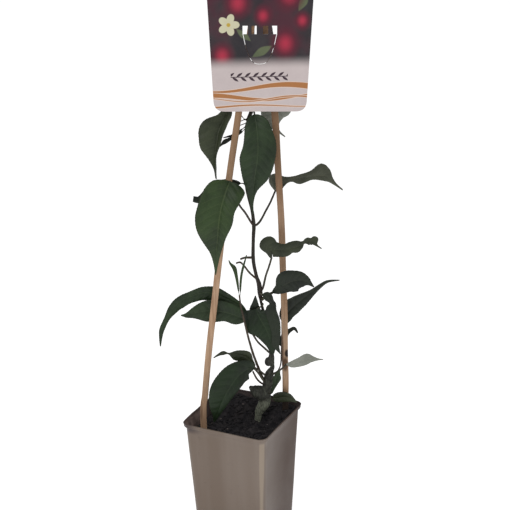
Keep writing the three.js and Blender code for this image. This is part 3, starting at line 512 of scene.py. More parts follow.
def colour(red, green, blue):
    """A shader's linear colour from a picture's 0 to 255."""
    linear = []
    for value in (red / 255, green / 255, blue / 255):
        linear.append(value / 12.92 if value < 0.04 else ((value + 0.055) / 1.055) ** 2.4)
    return (*linear, 1)


class Field:
    """A value that varies over a surface, which adds and multiplies like a number."""

    def __init__(self, shader, socket):
        self.shader = shader
        self.socket = socket

    def __add__(self, other):
        return self.shader.math("ADD", self, other)

    def __sub__(self, other):
        return self.shader.math("SUBTRACT", self, other)

    def __mul__(self, other):
        return self.shader.math("MULTIPLY", self, other)

    def __truediv__(self, other):
        return self.shader.math("DIVIDE", self, other)

    def __pow__(self, other):
        return self.shader.math("POWER", self, other)

    def __abs__(self):
        return self.shader.math("ABSOLUTE", self)


class Shader:
    """A Principled material, with short calls for the nodes that feed it."""

    def __init__(self, name):
        self.material = bpy.data.materials.new(name)
        self.material.use_nodes = True
        self.nodes = self.material.node_tree.nodes

    def feed(self, socket, value):
        """Links a field, or sets a number, a vector or a colour of three values up to 255."""
        if isinstance(value, Field):
            self.material.node_tree.links.new(value.socket, socket)
        elif socket.type == "RGBA" and len(value) == 3:
            socket.default_value = colour(*value)
        else:
            socket.default_value = value

    def node(self, kind, inputs, output=0, **settings):
        """The output of a new node, whose inputs are given by name or number."""
        node = self.nodes.new(kind)
        for name, value in settings.items():
            setattr(node, name, value)
        for key, value in inputs.items():
            self.feed(node.inputs[key], value)
        return Field(self, node.outputs[output])

    def done(self, base, roughness, specular=0.5, normal=None, **others):
        surface = self.nodes["Principled BSDF"].inputs
        values = {"Base Color": base, "Roughness": roughness, "Specular IOR Level": specular}
        if normal is not None:
            values["Normal"] = normal
        for name, value in (values | others).items():
            self.feed(surface[name.replace("_", " ")], value)
        return self.material

    def place(self, stretch=(1, 1, 1), turn=0.0):
        """The frame's coordinates in metres, scaled and then turned about Z."""
        source = self.node("ShaderNodeTexCoord", {}, "Object")
        inputs = {"Vector": source, "Rotation": (0, 0, turn), "Scale": stretch}
        return self.node("ShaderNodeMapping", inputs)

    def parts(self, vector):
        node = self.nodes.new("ShaderNodeSeparateXYZ")
        self.feed(node.inputs[0], vector)
        return [Field(self, socket) for socket in node.outputs]

    def millimetres(self, turn=0.0):
        return self.parts(self.place((1000, 1000, 1000), turn))

    def noise(self, scale, detail, roughness, stretch=(1, 1, 1)):
        inputs = {"Vector": self.place(stretch), "Scale": scale, "Detail": detail,
                  "Roughness": roughness}
        return self.node("ShaderNodeTexNoise", inputs)

    def cell_edges(self, scale, stretch=(1, 1, 1)):
        inputs = {"Vector": self.place(stretch), "Scale": scale}
        return self.node("ShaderNodeTexVoronoi", inputs, "Distance", feature="DISTANCE_TO_EDGE")

    def math(self, operation, *values):
        return self.node("ShaderNodeMath", dict(enumerate(values)), operation=operation)

    def band(self, value, low, high, start=0, end=1):
        """start below low and end above high, with a smooth step between."""
        inputs = dict(enumerate((value, low, high, start, end)))
        return self.node("ShaderNodeMapRange", inputs, interpolation_type="SMOOTHSTEP")

    def mix(self, factor, first, second):
        return self.node("ShaderNodeMix", {0: factor, 6: first, 7: second}, 2, data_type="RGBA")

    def over(self, base, *layers):
        """base with each layer's colour mixed over it by the layer's mask."""
        for mask, shade in layers:
            base = self.mix(mask, base, shade)
        return base

    def bump(self, height, strength, depth, under=None):
        """A normal from height, with its depth in millimetres, over the normal under it."""
        inputs = {"Strength": strength, "Distance": depth * MM, "Height": height}
        if under is not None:
            inputs["Normal"] = under
        return self.node("ShaderNodeBump", inputs)

    def apart(self, x, z, middle, squash=1.0):
        """The distance from middle, with the second direction multiplied by squash."""
        dx = x - middle[0]
        dz = (z - middle[1]) * squash
        return self.math("SQRT", dx * dx + dz * dz)


def pot_material():
    s = Shader("pot_plastic")
    streaks = s.noise(1, 3, 0.55, (24, 24, 1.2))
    cloud = s.noise(16, 3, 0.5)
    grain = s.noise(2600, 2, 0.6)
    specks = s.band(s.noise(110, 5, 0.62), 0.6, 0.78)
    x, y, z = s.millimetres()
    # Painted highlight: a pale line down the corner that faces the camera, to just under the rim. Painted
    # shade: the rim's two side corners are dark.
    corner = s.band(x - y - z * (2 * POT_TAPER), 78.2, 79.1)
    painted_corner_highlight = corner * s.band(streaks, 0.3, 0.6, 0.4, 0.8) * s.band(z, 206, 209, 1, 0)
    # Painted shade on the rim at its two side corners
    ends = s.band(x - y, 8, 28, 0.95, 0) * s.band(z, 201, 207)
    base = s.over(
        s.mix(s.band(streaks, 0.35, 0.68), (103, 88, 76), (117, 104, 94)),
        (s.band(z, 20, 170, 0.75, 0), s.mix(cloud, (80, 62, 47), (93, 77, 62))),
        (specks * 0.3, (70, 62, 56)),
        # Painted shade: the right face and the right corner are darkened
        (s.band(y, -52, 20, 0, 0.9), (72, 56, 48)),
        (s.band(x + y, 2, 14, 0, 0.48), (72, 56, 48)),
        # Painted highlight down the front corner
        (painted_corner_highlight, (146, 132, 116)),
        # Painted shade at the rim's two side corners
        (ends, (60, 46, 44)),
    )
    normal = s.bump(grain, 0.12, 0.05, s.bump(cloud, 0.25, 1.2))
    gloss = s.band(y, -52, 20, 0.4, 0.12)
    return s.done(base, s.band(cloud, 0.3, 0.7, 0.36, 0.5), gloss, normal)


def pot_inside_material():
    s = Shader("pot_inside")
    stain = s.noise(60, 5, 0.65)
    x, y, _ = s.millimetres()
    base = s.over(
        s.mix(s.band(stain, 0.35, 0.65), (78, 66, 62), (118, 101, 95)),
        # Painted shade: the back of the inside walls is darkened
        (s.band(y, -20, 15, 0, 0.85), (50, 42, 42)),
        # Painted highlight: a pale pinkish-grey patch on the inside wall near the back corner
        (s.band(s.apart(x, y, POT_PAINTED_HIGHLIGHT), 6, 13, 0.85, 0), (92, 84, 84)),
    )
    return s.done(base, s.band(stain, 0.3, 0.7, 0.9, 0.6), 0.3, s.bump(stain, 0.4, 0.4))


def soil_material():
    s = Shader("compost")
    coarse = s.noise(120, 5, 0.65)
    fine = s.noise(700, 4, 0.7)
    fibre = s.band(s.noise(420, 2, 0.5, (1, 3.5, 1)), 0.66, 0.74)
    base = s.mix(s.band(coarse, 0.35, 0.7), (30, 29, 32), (54, 51, 52))
    base = s.mix(fibre * 0.6, base, (66, 56, 48))
    return s.done(base, 0.95, 0.15, s.bump(fine, 0.8, 0.5, s.bump(coarse, 0.7, 1.4)))


def pale_lump_material():
    s = Shader("pale_lumps")
    grit = s.noise(500, 4, 0.6)
    base = s.mix(grit, (66, 58, 56), (112, 102, 100))
    return s.done(base, 0.9, normal=s.bump(grit, 0.6, 0.4))


def cane_material():
    s = Shader("cane_wood")
    flow = s.noise(420, 4, 0.6, (1, 1, 0.06))
    fibre = s.noise(1600, 3, 0.6, (1, 1, 0.02))
    patch = s.noise(22, 3, 0.5, (1, 1, 0.5))
    x, _, z = s.millimetres(-PLANT_TURN)
    damp = flow * 30 + z
    base = s.over(
        s.mix(s.band(flow, 0.3, 0.72), (142, 110, 84), (180, 148, 120)),
        (s.band(patch, 0.42, 0.7, 0, 0.45), (196, 170, 146)),
        (s.band(z, 450, 540, 0, 0.75), (132, 104, 78)),
        (s.band(x, 2, 6) * s.band(z, 380, 450, 0, 0.5), (112, 84, 62)),
        (s.band(fibre, 0.55, 0.75, 0, 0.4), (104, 75, 54)),
        (s.band(damp, 236, 278, 0.1, 0) * s.band(z, 221, 228), (88, 62, 46)),
        (s.band(damp, 240, 252, 0.97, 0) * s.band(x, 10, 20), (40, 32, 28)),
    )
    # Knots, stains and the painted shade strips on the canes' left edges
    for middle, squash, radius, strength, shade in CANE_MARKS:
        mark = s.band(s.apart(x, z, middle, squash), 0.5 * radius, radius, strength, 0)
        base = s.mix(mark, base, shade)
    normal = s.bump(fibre, 0.5, 0.18, s.bump(flow, 0.4, 0.35))
    return s.done(base, s.band(fibre, 0.3, 0.7, 0.62, 0.8), 0.25, normal)


def bark_material():
    """Grey, cracked bark, pale at the stem's foot and smooth and brown on the young growth."""
    s = Shader("bark")
    plates = s.noise(260, 5, 0.65, (1, 1, 0.35))
    lichen = s.noise(90, 4, 0.6)
    cracks = s.cell_edges(330, (1, 1, 0.35))
    z = lichen * 12 + s.millimetres()[2]
    young = s.mix(s.band(plates, 0.3, 0.7), (32, 27, 27), (56, 47, 44))
    young = s.mix(s.band(z, 306, 500, 0, 0.35), young, (50, 52, 38))
    base = s.over(
        s.mix(s.band(plates, 0.35, 0.68), (36, 37, 34), (68, 69, 62)),
        (s.band(lichen, 0.46, 0.7, 0, 0.4), (88, 92, 80)),
        (s.band(z, 226, 240, 0.8, 0), s.mix(plates, (102, 106, 92), (142, 146, 128))),
        (s.band(cracks, 0, 0.12, 0.6, 0), (26, 24, 22)),
        (s.band(z, 292, 300), young),
    )
    normal = s.bump(plates, 0.6, 0.35, s.bump(cracks, 0.35, 0.4))
    return s.done(base, s.band(plates, 0.3, 0.7, 0.62, 0.85), 0.25, normal)


def stalk_material(name, dark, light):
    s = Shader(name)
    along = s.noise(420, 3, 0.5, (1, 1, 0.25))
    flush = s.band(s.noise(45, 2, 0.5), 0.5, 0.7, 0, 0.5)
    base = s.mix(flush, s.mix(s.band(along, 0.3, 0.7), dark, light), (60, 30, 34))
    return s.done(base, 0.5, 0.3, s.bump(along, 0.3, 0.12))


def vein_masks(s):
    """How far a point is off the midrib, and how much of the midrib, veins and net shows there."""
    stored = s.node("ShaderNodeAttribute", {}, "Vector", attribute_name="surface")
    across, phase, _ = s.parts(stored)
    off_middle = abs(across)
    wave = abs(s.math("FRACT", phase) - 0.5)
    side = s.band(wave, 0.43, 0.492) * s.band(off_middle, 0.72, 0.96, 1, 0)
    net = s.band(s.cell_edges(520), 0, 0.09, 1, 0)
    return off_middle, s.band(off_middle, 0.01, 0.055, 1, 0), side, net


def leaf_top_material(name, dark, light, vein):
    """The upper side of a leaf: satin green, with paler veins sunk into it."""
    s = Shader(name)
    off_middle, midrib, side, net = vein_masks(s)
    cloud = s.noise(38, 4, 0.55)
    speck = s.noise(480, 3, 0.6)
    base = s.over(
        s.mix(s.band(cloud, 0.34, 0.66), dark, light),
        (s.band(speck, 0.3, 0.75, 0, 0.3), dark),
        (net * 0.06, vein),
        (side * 0.14, vein),
        (midrib * 0.28, vein),
        # Painted shade: a dark brownish rim along the blade's margin
        (s.band(off_middle, 0.94, 1, 0, 0.3), (46, 36, 26)),
    )
    lines = s.math("MAXIMUM", net * 0.3, s.math("MAXIMUM", side, midrib))
    relief = s.bump(lines, -0.2, 0.2, s.bump(speck, 0.15, 0.1, s.bump(cloud, 0.3, 1)))
    return s.done(base, s.band(cloud, 0.3, 0.7, 0.42, 0.55), 0.25, relief)


def leaf_under_material(name, dark, light, vein):
    """The underside of a leaf: dull and pale grey-green, with raised veins."""
    s = Shader(name)
    _, midrib, side, net = vein_masks(s)
    cloud = s.noise(60, 4, 0.55)
    base = s.over(
        s.mix(s.band(cloud, 0.32, 0.68), dark, light),
        (net * 0.22, dark),
        (side * 0.5, vein),
        (midrib * 0.6, vein),
    )
    lines = s.math("MAXIMUM", net * 0.35, s.math("MAXIMUM", side, midrib))
    return s.done(base, 0.72, 0.2, s.bump(lines, 0.5, 0.3, s.bump(cloud, 0.2, 0.8)))


# The label's print: soft fruits, a pale flower and leaves on a dark ground, and under them a pale
# foot with a sprig and thin tan bands. All is placed from the label's bottom middle.
# A fruit is its middle and radius. A print leaf is its middle, half length, half width and turn.
# A band is its height, swing, speed, shift, half thickness, and how fast that grows across.
FRUITS = [(-24, 118, 15), (-41, 62, 13), (3, 104, 10), (31, 126, 16), (27, 74, 15), (45, 98, 9)]
PRINT_LEAVES = [(2, 66, 13, 5, 0.5), (-18, 84, 11, 4, -0.7), (46, 118, 12, 5, 1.1)]
PETAL_SPREAD = 12
FLOWER_MIDDLE = (-34, 95)
PICTURE_EDGE = (46, 62)
SPRIG_HEIGHT = 38.5
SPRIG_STEP = 9
SPRIG_HALF = 31
SPRIG_COLOUR = (56, 40, 50)
BANDS = [
    (26, 3.4, 0.045, 0.4, 2.0, 0.022),
    (16, -3, 0.05, 1.2, 1.5, -0.018),
    (14, 2.6, 0.062, -0.6, 0.5, 0.004),
    (6, 1.4, 0.05, 2.0, 0.6, -0.006),
]


def almond(dx, dz, half_length, half_width, turn):
    """Below 1 inside a leaf shape round the point that dx and dz are measured from."""
    along = dx * math.cos(turn) + dz * math.sin(turn)
    across = dz * math.cos(turn) - dx * math.sin(turn)
    return abs(along / half_length) ** 1.6 + abs(across / half_width)


def print_picture(s, x, z, cloud):
    haze = s.band(s.noise(22, 3, 0.5), 0.42, 0.66, 0, 0.75)
    base = s.mix(s.band(cloud, 0.35, 0.65), (34, 32, 37), (50, 46, 49))
    base = s.mix(haze, base, (76, 28, 44))
    for middle_x, middle_z, half_length, half_width, turn in PRINT_LEAVES:
        leaf = almond(x - middle_x, z - middle_z, half_length, half_width, turn)
        green = s.mix(cloud, (60, 74, 52), (116, 124, 88))
        base = s.mix(s.band(leaf, 0.7, 1.05, 0.8, 0), base, green)
    for middle_x, middle_z, radius in FRUITS:
        away = s.apart(x, z, (middle_x, middle_z), 0.86)
        skin = s.mix(s.band(away, 0, radius * 0.8), (168, 38, 64), (86, 20, 40))
        base = s.mix(s.band(away, radius * 0.55, radius * 1.3, 0.92, 0), base, skin)
    away = s.apart(x, z, FLOWER_MIDDLE)
    angle = s.math("ARCTAN2", z - FLOWER_MIDDLE[1], x - FLOWER_MIDDLE[0])
    petals = abs(s.math("COSINE", angle * 2.5))
    edge = away - (petals * 0.45 + 0.55) * PETAL_SPREAD
    cream = s.mix(cloud, (180, 176, 140), (206, 202, 178))
    base = s.mix(s.band(edge, -0.6, 0.4, 1, 0), base, cream)
    return s.mix(s.band(away, 1.6, 2.6, 1, 0), base, (178, 150, 62))


def print_foot(s, x, z, cloud):
    base = s.mix(cloud, (176, 164, 164), (198, 186, 184))
    for height, swing, speed, shift, half, grow in BANDS:
        curve = s.math("SINE", x * speed + shift) * swing + height
        edge = abs(z - curve) - (x * grow + half)
        base = s.mix(s.band(edge, 0.4, 1.1, 0.8, 0), base, (214, 192, 178))
        base = s.mix(s.band(edge, -0.2, 0.3, 1, 0), base, (162, 108, 62))
    inside = s.math("LESS_THAN", abs(x + 1), SPRIG_HALF)
    for offset, side in ((0, 1), (0.5, -1)):
        cell = s.math("FRACT", x / SPRIG_STEP + offset)
        dz = z - (SPRIG_HEIGHT + 2.4 * side)
        leaf = almond((cell - 0.5) * SPRIG_STEP, dz, 4.6, 1.5, 0.6 * side)
        base = s.mix(s.band(leaf, 0.75, 1.05, 1, 0) * inside, base, SPRIG_COLOUR)
    twig = s.band(abs(z - SPRIG_HEIGHT), 0.25, 0.6, 1, 0)
    return s.mix(twig * inside, base, SPRIG_COLOUR)


def label_print_material():
    s = Shader("label_print")
    x, _, z = s.millimetres(-PLANT_TURN)
    z = z - LABEL_BOTTOM_Z
    x = x - z * math.tan(LABEL_TILT) - LABEL_CENTRE_X
    cloud = s.noise(34, 4, 0.6)
    foot = print_foot(s, x, z, cloud)
    base = s.mix(s.band(z, *PICTURE_EDGE), foot, print_picture(s, x, z, cloud))
    return s.done(base, 0.42, 0.3, s.bump(s.noise(60, 2, 0.5), 0.08, 0.6))


def label_card_material():
    s = Shader("label_card")
    cloud = s.noise(90, 3, 0.5)
    base = s.mix(cloud, (190, 185, 186), (206, 202, 202))
    return s.done(base, 0.5, normal=s.bump(cloud, 0.08, 0.3))


def strap_material():
    s = Shader("strap_plastic")
    cloud = s.noise(300, 3, 0.5)
    base = s.mix(cloud, (44, 58, 42), (58, 72, 52))
    return s.done(base, 0.45, normal=s.bump(cloud, 0.15, 0.2))


def floor_material():
    s = Shader("floor")
    base = s.mix(s.noise(3, 2, 0.5), (0.84, 0.84, 0.84, 1), (0.86, 0.86, 0.86, 1))
    return s.done(base, 0.9, Emission_Color=(1, 1, 1, 1), Emission_Strength=0.6)


# Each tone: the upper side's dark, light and vein colours, then the underside's
LEAF_TONES = {
    "fresh": [(30, 44, 22), (48, 66, 34), (92, 104, 66), (70, 80, 60), (92, 102, 80), (124, 128, 100)],
    "deep": [(25, 38, 21), (41, 57, 33), (72, 84, 58), (70, 80, 62), (92, 102, 84), (124, 128, 100)],
    "dark": [(20, 26, 20), (34, 42, 30), (62, 66, 52), (66, 72, 62), (90, 96, 86), (118, 120, 100)],
    "shade": [(14, 25, 12), (27, 43, 22), (60, 74, 50), (66, 72, 62), (90, 96, 86), (118, 120, 100)],
    "grey": [(60, 63, 51), (90, 93, 78), (114, 116, 100), (76, 82, 70), (100, 104, 92), (126, 128, 110)],
    "dull": [(34, 40, 26), (54, 60, 42), (84, 86, 66), (70, 78, 62), (94, 100, 86), (122, 124, 102)],
    "pale": [(114, 117, 108), (140, 143, 134), (156, 157, 144), (110, 112, 100), (134, 136, 126),
             (152, 152, 138)],
}


def leaf_materials():
    stalk = stalk_material("leaf_stalk", (38, 36, 30), (66, 64, 48))
    materials = {}
    for tone, colours in LEAF_TONES.items():
        top = leaf_top_material(f"leaf_{tone}_top", *colours[:3])
        under = leaf_under_material(f"leaf_{tone}_under", *colours[3:])
        materials[tone] = [top, under, stalk]
    return materials


# Pot


def cavity_half(z):
    return POT_BASE_HALF - POT_WALL + POT_TAPER * z


def pot_profile():
    """The pot's outside and then its inside, as rows of half width, corner and height."""
    rim_bottom = POT_HEIGHT - POT_RIM_DEPTH
    taper = (POT_WALL_TOP_HALF - POT_BASE_HALF) / rim_bottom
    outside = [(POT_BASE_HALF - 1.2, POT_CORNER - 1.2, 0), (POT_BASE_HALF - 0.3, POT_CORNER - 0.3, 0.4)]
    for z in np.linspace(1.4, rim_bottom - 1.2, 26):
        outside.append((POT_BASE_HALF + taper * z, POT_CORNER, z))
    for out, up in ((0.2, -0.7), (0.7, -0.3), (1.6, -0.1), (2.3, 0.2), (2.6, 0.9), (2.6, 2), (2.6, 3.4)):
        outside.append((POT_WALL_TOP_HALF + out, POT_CORNER + 0.6 * out, rim_bottom + up))
    for angle in np.radians((20, 40, 60, 80)):
        half = POT_RIM_HALF - 1.1 * (1 - math.cos(angle))
        outside.append((half, POT_CORNER + 1.5, POT_HEIGHT - 1.1 * (1 - math.sin(angle))))
    lip = POT_RIM_HALF - POT_WALL
    inside = [(lip + 0.25, POT_CORNER, POT_HEIGHT - 0.15)]
    for drop in (0.6, 1.6, 3):
        inside.append((lip, POT_CORNER, POT_HEIGHT - drop))
    for z in np.linspace(rim_bottom - 1, POT_FLOOR, 16):
        inside.append((cavity_half(z), POT_CORNER - POT_WALL, z))
    return outside, inside


def soften_pot(vertices):
    """Slight dents and waves of a thin moulded wall, most of all at the rim."""
    for vertex in vertices:
        x, y, z = vertex
        reach = max(abs(x), abs(y), 1.0)
        rim = float(smooth(120, 214, z))
        slow = noise.noise(Vector((x * 0.02 + 3, y * 0.02, z * 0.012)))
        lip = noise.noise(Vector((x * 0.055, y * 0.055, 7)))
        push = 0.55 * slow * float(smooth(0, 40, z)) + 0.5 * lip * rim
        vertex[0] += push * x / reach
        vertex[1] += push * y / reach
        vertex[2] = min(z + 0.5 * lip * float(smooth(205, 214, z)), POT_HEIGHT)
    return vertices


def drain_cutter():
    cutter = bmesh.new()
    for x in (-DRAIN_OFFSET, DRAIN_OFFSET):
        for y in (-DRAIN_OFFSET, DRAIN_OFFSET):
            place = Matrix.Translation(Vector((x, y, 0)) * MM)
            radius = DRAIN_RADIUS * MM
            size = {"radius1": radius, "radius2": radius, "depth": 4 * POT_FLOOR * MM}
            bmesh.ops.create_cone(cutter, cap_ends=True, segments=DRAIN_SIDES, matrix=place, **size)
    mesh = bpy.data.meshes.new("drains")
    cutter.to_mesh(mesh)
    cutter.free()
    return mesh


def make_pot():
    outside, inside = pot_profile()
    rings = [rounded_square(*row) for row in outside + inside]
    vertices, faces = loft(rings)
    count = len(rings[0])
    materials = [int(min(face) >= len(outside) * count) for face in faces]
    shape = Shape()
    shape.add(soften_pot(vertices), faces, materials)
    cutter = placed("drains", drain_cutter())
    whole = shape.mesh("pot_shell", turn=False)
    whole.materials.append(pot_material())
    whole.materials.append(pot_inside_material())
    mesh = applied(whole, "BOOLEAN", operation="DIFFERENCE", object=cutter)
    bpy.data.objects.remove(cutter)
    make_piece("pot_shell", mesh, [], "pot")


# Soil


def soil_height(x, y):
    """The compost's height with its lumps, and a low heap round the stem."""
    slow = math.sin(0.09 * x + 1.1) * math.cos(0.075 * y - 0.4)
    fast = math.sin(0.31 * x - 0.17 * y) * math.sin(0.27 * y + 0.8)
    lumps = noise.fractal(Vector((x, y, 0)) * 0.16, 0.9, 2.1, 5)
    grit = noise.noise(Vector((x * 0.9, y * 0.9, 5)))
    stem_x, stem_y, _ = turned([STEM[1][:3]])[0]
    heap = 2 * math.exp(-((math.hypot(x - stem_x, y - stem_y) / 13) ** 2))
    full = float(smooth(BANK_LEFT_X, BANK_FULL_X, x))
    right = BANK_LEFT_SHARE + (1 - BANK_LEFT_SHARE) * full
    bank = BANK_HEIGHT * float(smooth(BANK_START_Y, BANK_END_Y, y)) * right
    return SOIL_LEVEL + SOIL_BUMP * (0.65 * slow + 0.35 * fast) + bank + lumps + 0.45 * grit + heap


def ball():
    shell = bmesh.new()
    bmesh.ops.create_icosphere(shell, subdivisions=1, radius=1)
    vertices = np.array([v.co[:] for v in shell.verts])
    faces = [tuple(v.index for v in face.verts) for face in shell.faces]
    shell.free()
    return vertices, faces


def add_crumb(shape, pick, place, size, long, material=0):
    """One small lump lying on the compost, long and turned by chance."""
    spin = pick.uniform(0, math.pi)
    flat = pick.uniform(0.45, 0.9)
    vertices, faces = ball()
    for vertex in vertices:
        vertex *= size * pick.uniform(0.78, 1.18)
    x = vertices[:, 0] * long
    y = vertices[:, 1].copy()
    vertices[:, 0] = place[0] + x * math.cos(spin) - y * math.sin(spin)
    vertices[:, 1] = place[1] + x * math.sin(spin) + y * math.cos(spin)
    vertices[:, 2] = soil_height(*place) + 0.25 * size + flat * vertices[:, 2]
    shape.add(vertices, faces, material)


def make_soil():
    corner = POT_CORNER - POT_WALL
    rings = [rounded_square(cavity_half(z) - 0.3, corner, z) for z in (POT_FLOOR + 0.3, SOIL_LEVEL - 8)]
    for i in range(SOIL_RINGS):
        scale = 1 - i / SOIL_RINGS
        ring = rounded_square((cavity_half(SOIL_LEVEL) - 0.3) * scale, corner * scale, 0)
        ring[:, 2] = [soil_height(x, y) for x, y, _ in ring]
        rings.append(ring)
    shape = Shape()
    shape.add(*loft(rings))
    pick = random.Random(11)
    reach = cavity_half(SOIL_LEVEL) - 3.5
    for _ in range(CRUMBS):
        place = (pick.uniform(-reach, reach), pick.uniform(-reach, reach))
        size = 0.55 + 1.9 * pick.random() ** 3
        pale = int(pick.random() < PALE_CRUMBS)
        add_crumb(shape, pick, place, size, 1 + 2.2 * pick.random() ** 4, pale)
    mesh = shape.mesh("compost_fill", turn=False)
    make_piece("compost_fill", mesh, [soil_material(), pale_lump_material()], "soil")


# Canes


def corner_angles():
    """For each corner of a rectangle seen from above, its side in x and y, and five angles."""
    for quarter, (x, y) in enumerate(((1, 1), (-1, 1), (-1, -1), (1, -1))):
        for i in range(5):
            yield x, y, (quarter + i / 4) * math.pi / 2


def lath_section(width, depth):
    """A lath's section with eased corners, anticlockwise from above."""
    section = []
    for x, y, angle in corner_angles():
        across = x * (width / 2 - CANE_EASE) + CANE_EASE * math.cos(angle)
        section.append([across, y * (depth / 2 - CANE_EASE) + CANE_EASE * math.sin(angle), 0])
    return np.array(section)


def make_cane(name, centres, seed, material):
    centres = sample_rows(centres, CANE_STEPS)
    rings = []
    for i, centre in enumerate(centres):
        wide = CANE_WIDTH + 0.35 * noise.noise(Vector((seed, 0, centre[2] * 0.02)))
        deep = CANE_THICKNESS + 0.3 * noise.noise(Vector((seed, 5, centre[2] * 0.025)))
        ends = 0.9 if i in (0, len(centres) - 1) else 1
        rings.append(lath_section(wide, deep) * ends + centre)
    solid_piece(f"{name}_lath", loft(rings), material, name)


# Care label and strap


def corner_curve(start, control, end):
    start, control, end = np.array([start, control, end], float)
    points = []
    for f in np.linspace(0, 1, 9):
        points.append((1 - f) ** 2 * start + 2 * f * (1 - f) * control + f**2 * end)
    return points


def label_outline():
    height = LABEL_TOP_Z - LABEL_BOTTOM_Z
    low = LABEL_BOTTOM_HALF
    high = LABEL_TOP_HALF
    side = height - LABEL_CORNER
    right = corner_curve((low - LABEL_CORNER, 0), (low - 0.5, 0.5), (low + 0.3, LABEL_CORNER))
    right += corner_curve((high, side), (high, height), (high - LABEL_CORNER, height))
    return right + [[-x, z] for x, z in reversed(right)]


def tongue_side(reach, knee, bottom):
    """One edge of the slit that frees the tongue, from its left end to its right end."""
    right = [[0, bottom], [0.58 * knee, bottom + 3], [knee, TONGUE_KNEE_HEIGHT], [reach, WINDOW_LOW]]
    left = [[-x, z] for x, z in reversed(right[1:])]
    return sample_rows(left + right, 6).tolist()


def box_hole(left, right, low, high):
    return [[left, low], [right, low], [right, high], [left, high]]


def label_holes():
    """The two outer windows with the slit between them, the two inner windows, and the strap's."""
    inner, outer = WINDOW_OUTER
    tongue = [[-inner, WINDOW_LOW], [-inner, WINDOW_HIGH], [-outer, WINDOW_HIGH]]
    tongue += tongue_side(outer, TONGUE_KNEE_HALF, TONGUE_LOW)
    tongue += [[outer, WINDOW_HIGH], [inner, WINDOW_HIGH], [inner, WINDOW_LOW]]
    knee = TONGUE_KNEE_HALF - TONGUE_SLIT
    free = tongue_side(outer - 1.3 * TONGUE_SLIT, knee, TONGUE_LOW + TONGUE_SLIT)
    near, far = WINDOW_INNER
    holes = [tongue + free[::-1]]
    for left, right in ((-far, -near), (near, far)):
        holes.append(box_hole(left, right, WINDOW_LOW, WINDOW_HIGH))
    holes = [[[x + HANGER_MIDDLE, z] for x, z in hole] for hole in holes]
    low = STRAP_Z - LABEL_BOTTOM_Z - STRAP_HEIGHT / 2 - STRAP_GAP
    high = low + STRAP_HEIGHT + 2 * STRAP_GAP
    lean = math.tan(LABEL_TILT) * low
    for x in (STRAP_LEFT - STRAP_THICKNESS, STRAP_RIGHT):
        left = x - STRAP_GAP - LABEL_CENTRE_X - lean
        holes.append(box_hole(left, left + STRAP_THICKNESS + 2 * STRAP_GAP, low, high))
    return holes


def make_label():
    """The card: its front face, its back face and the edges round its outline and holes."""
    loops = [[Vector((x, z, 0)) for x, z in loop] for loop in [label_outline()] + label_holes()]
    flat = [point for loop in loops for point in loop]
    cos = math.cos(LABEL_TILT)
    sin = math.sin(LABEL_TILT)
    vertices = []
    for depth in (0, LABEL_THICKNESS):
        for point in flat:
            x = point.x * cos + point.y * sin + LABEL_CENTRE_X
            z = point.y * cos - point.x * sin + LABEL_BOTTOM_Z
            vertices.append([x, LABEL_BACK_Y - depth, z])
    count = len(flat)
    faces = []
    materials = []
    for a, b, c in tessellate_polygon(loops):
        if (flat[b] - flat[a]).cross(flat[c] - flat[a]).z < 0:
            b, c = c, b
        faces += [(count + a, count + b, count + c), (a, c, b)]
        materials += [0, 1]
    start = 0
    for loop in loops:
        for i in range(len(loop)):
            a = start + i
            b = start + (i + 1) % len(loop)
            faces.append((a, b, count + b, count + a))
            materials.append(1)
        start += len(loop)
    shape = Shape()
    shape.add(vertices, faces, materials)
    mesh = shape.mesh("care_label_card")
    tidy = bmesh.new()
    tidy.from_mesh(mesh)
    bmesh.ops.recalc_face_normals(tidy, faces=tidy.faces)
    for face in tidy.faces:
        face.smooth = False
    tidy.to_mesh(mesh)
    tidy.free()
    card = [label_print_material(), label_card_material()]
    make_piece("care_label_card", mesh, card, "care_label")


def make_strap():
    """A flat band with eased edges, in a ring round the canes."""
    middle_x = (STRAP_LEFT + STRAP_RIGHT) / 2
    middle_y = (STRAP_FRONT + STRAP_BACK) / 2
    half_x = (STRAP_RIGHT - STRAP_LEFT) / 2
    half_y = (STRAP_BACK - STRAP_FRONT) / 2
    vertices = []
    for x, y, angle in corner_angles():
        for out, up in STRAP_SECTION:
            reach = out * STRAP_THICKNESS
            vertices.append([
                middle_x + x * half_x + reach * math.cos(angle),
                middle_y + y * half_y + reach * math.sin(angle),
                STRAP_Z + up * STRAP_HEIGHT,
            ])
    around = len(STRAP_SECTION)
    faces = []
    for here in range(0, len(vertices), around):
        there = (here + around) % len(vertices)
        for i in range(around):
            j = (i + 1) % around
            faces.append((here + i, there + i, there + j, here + j))
    solid_piece("strap_band", (vertices, faces), strap_material(), "cane_strap")


# Stem and shoots


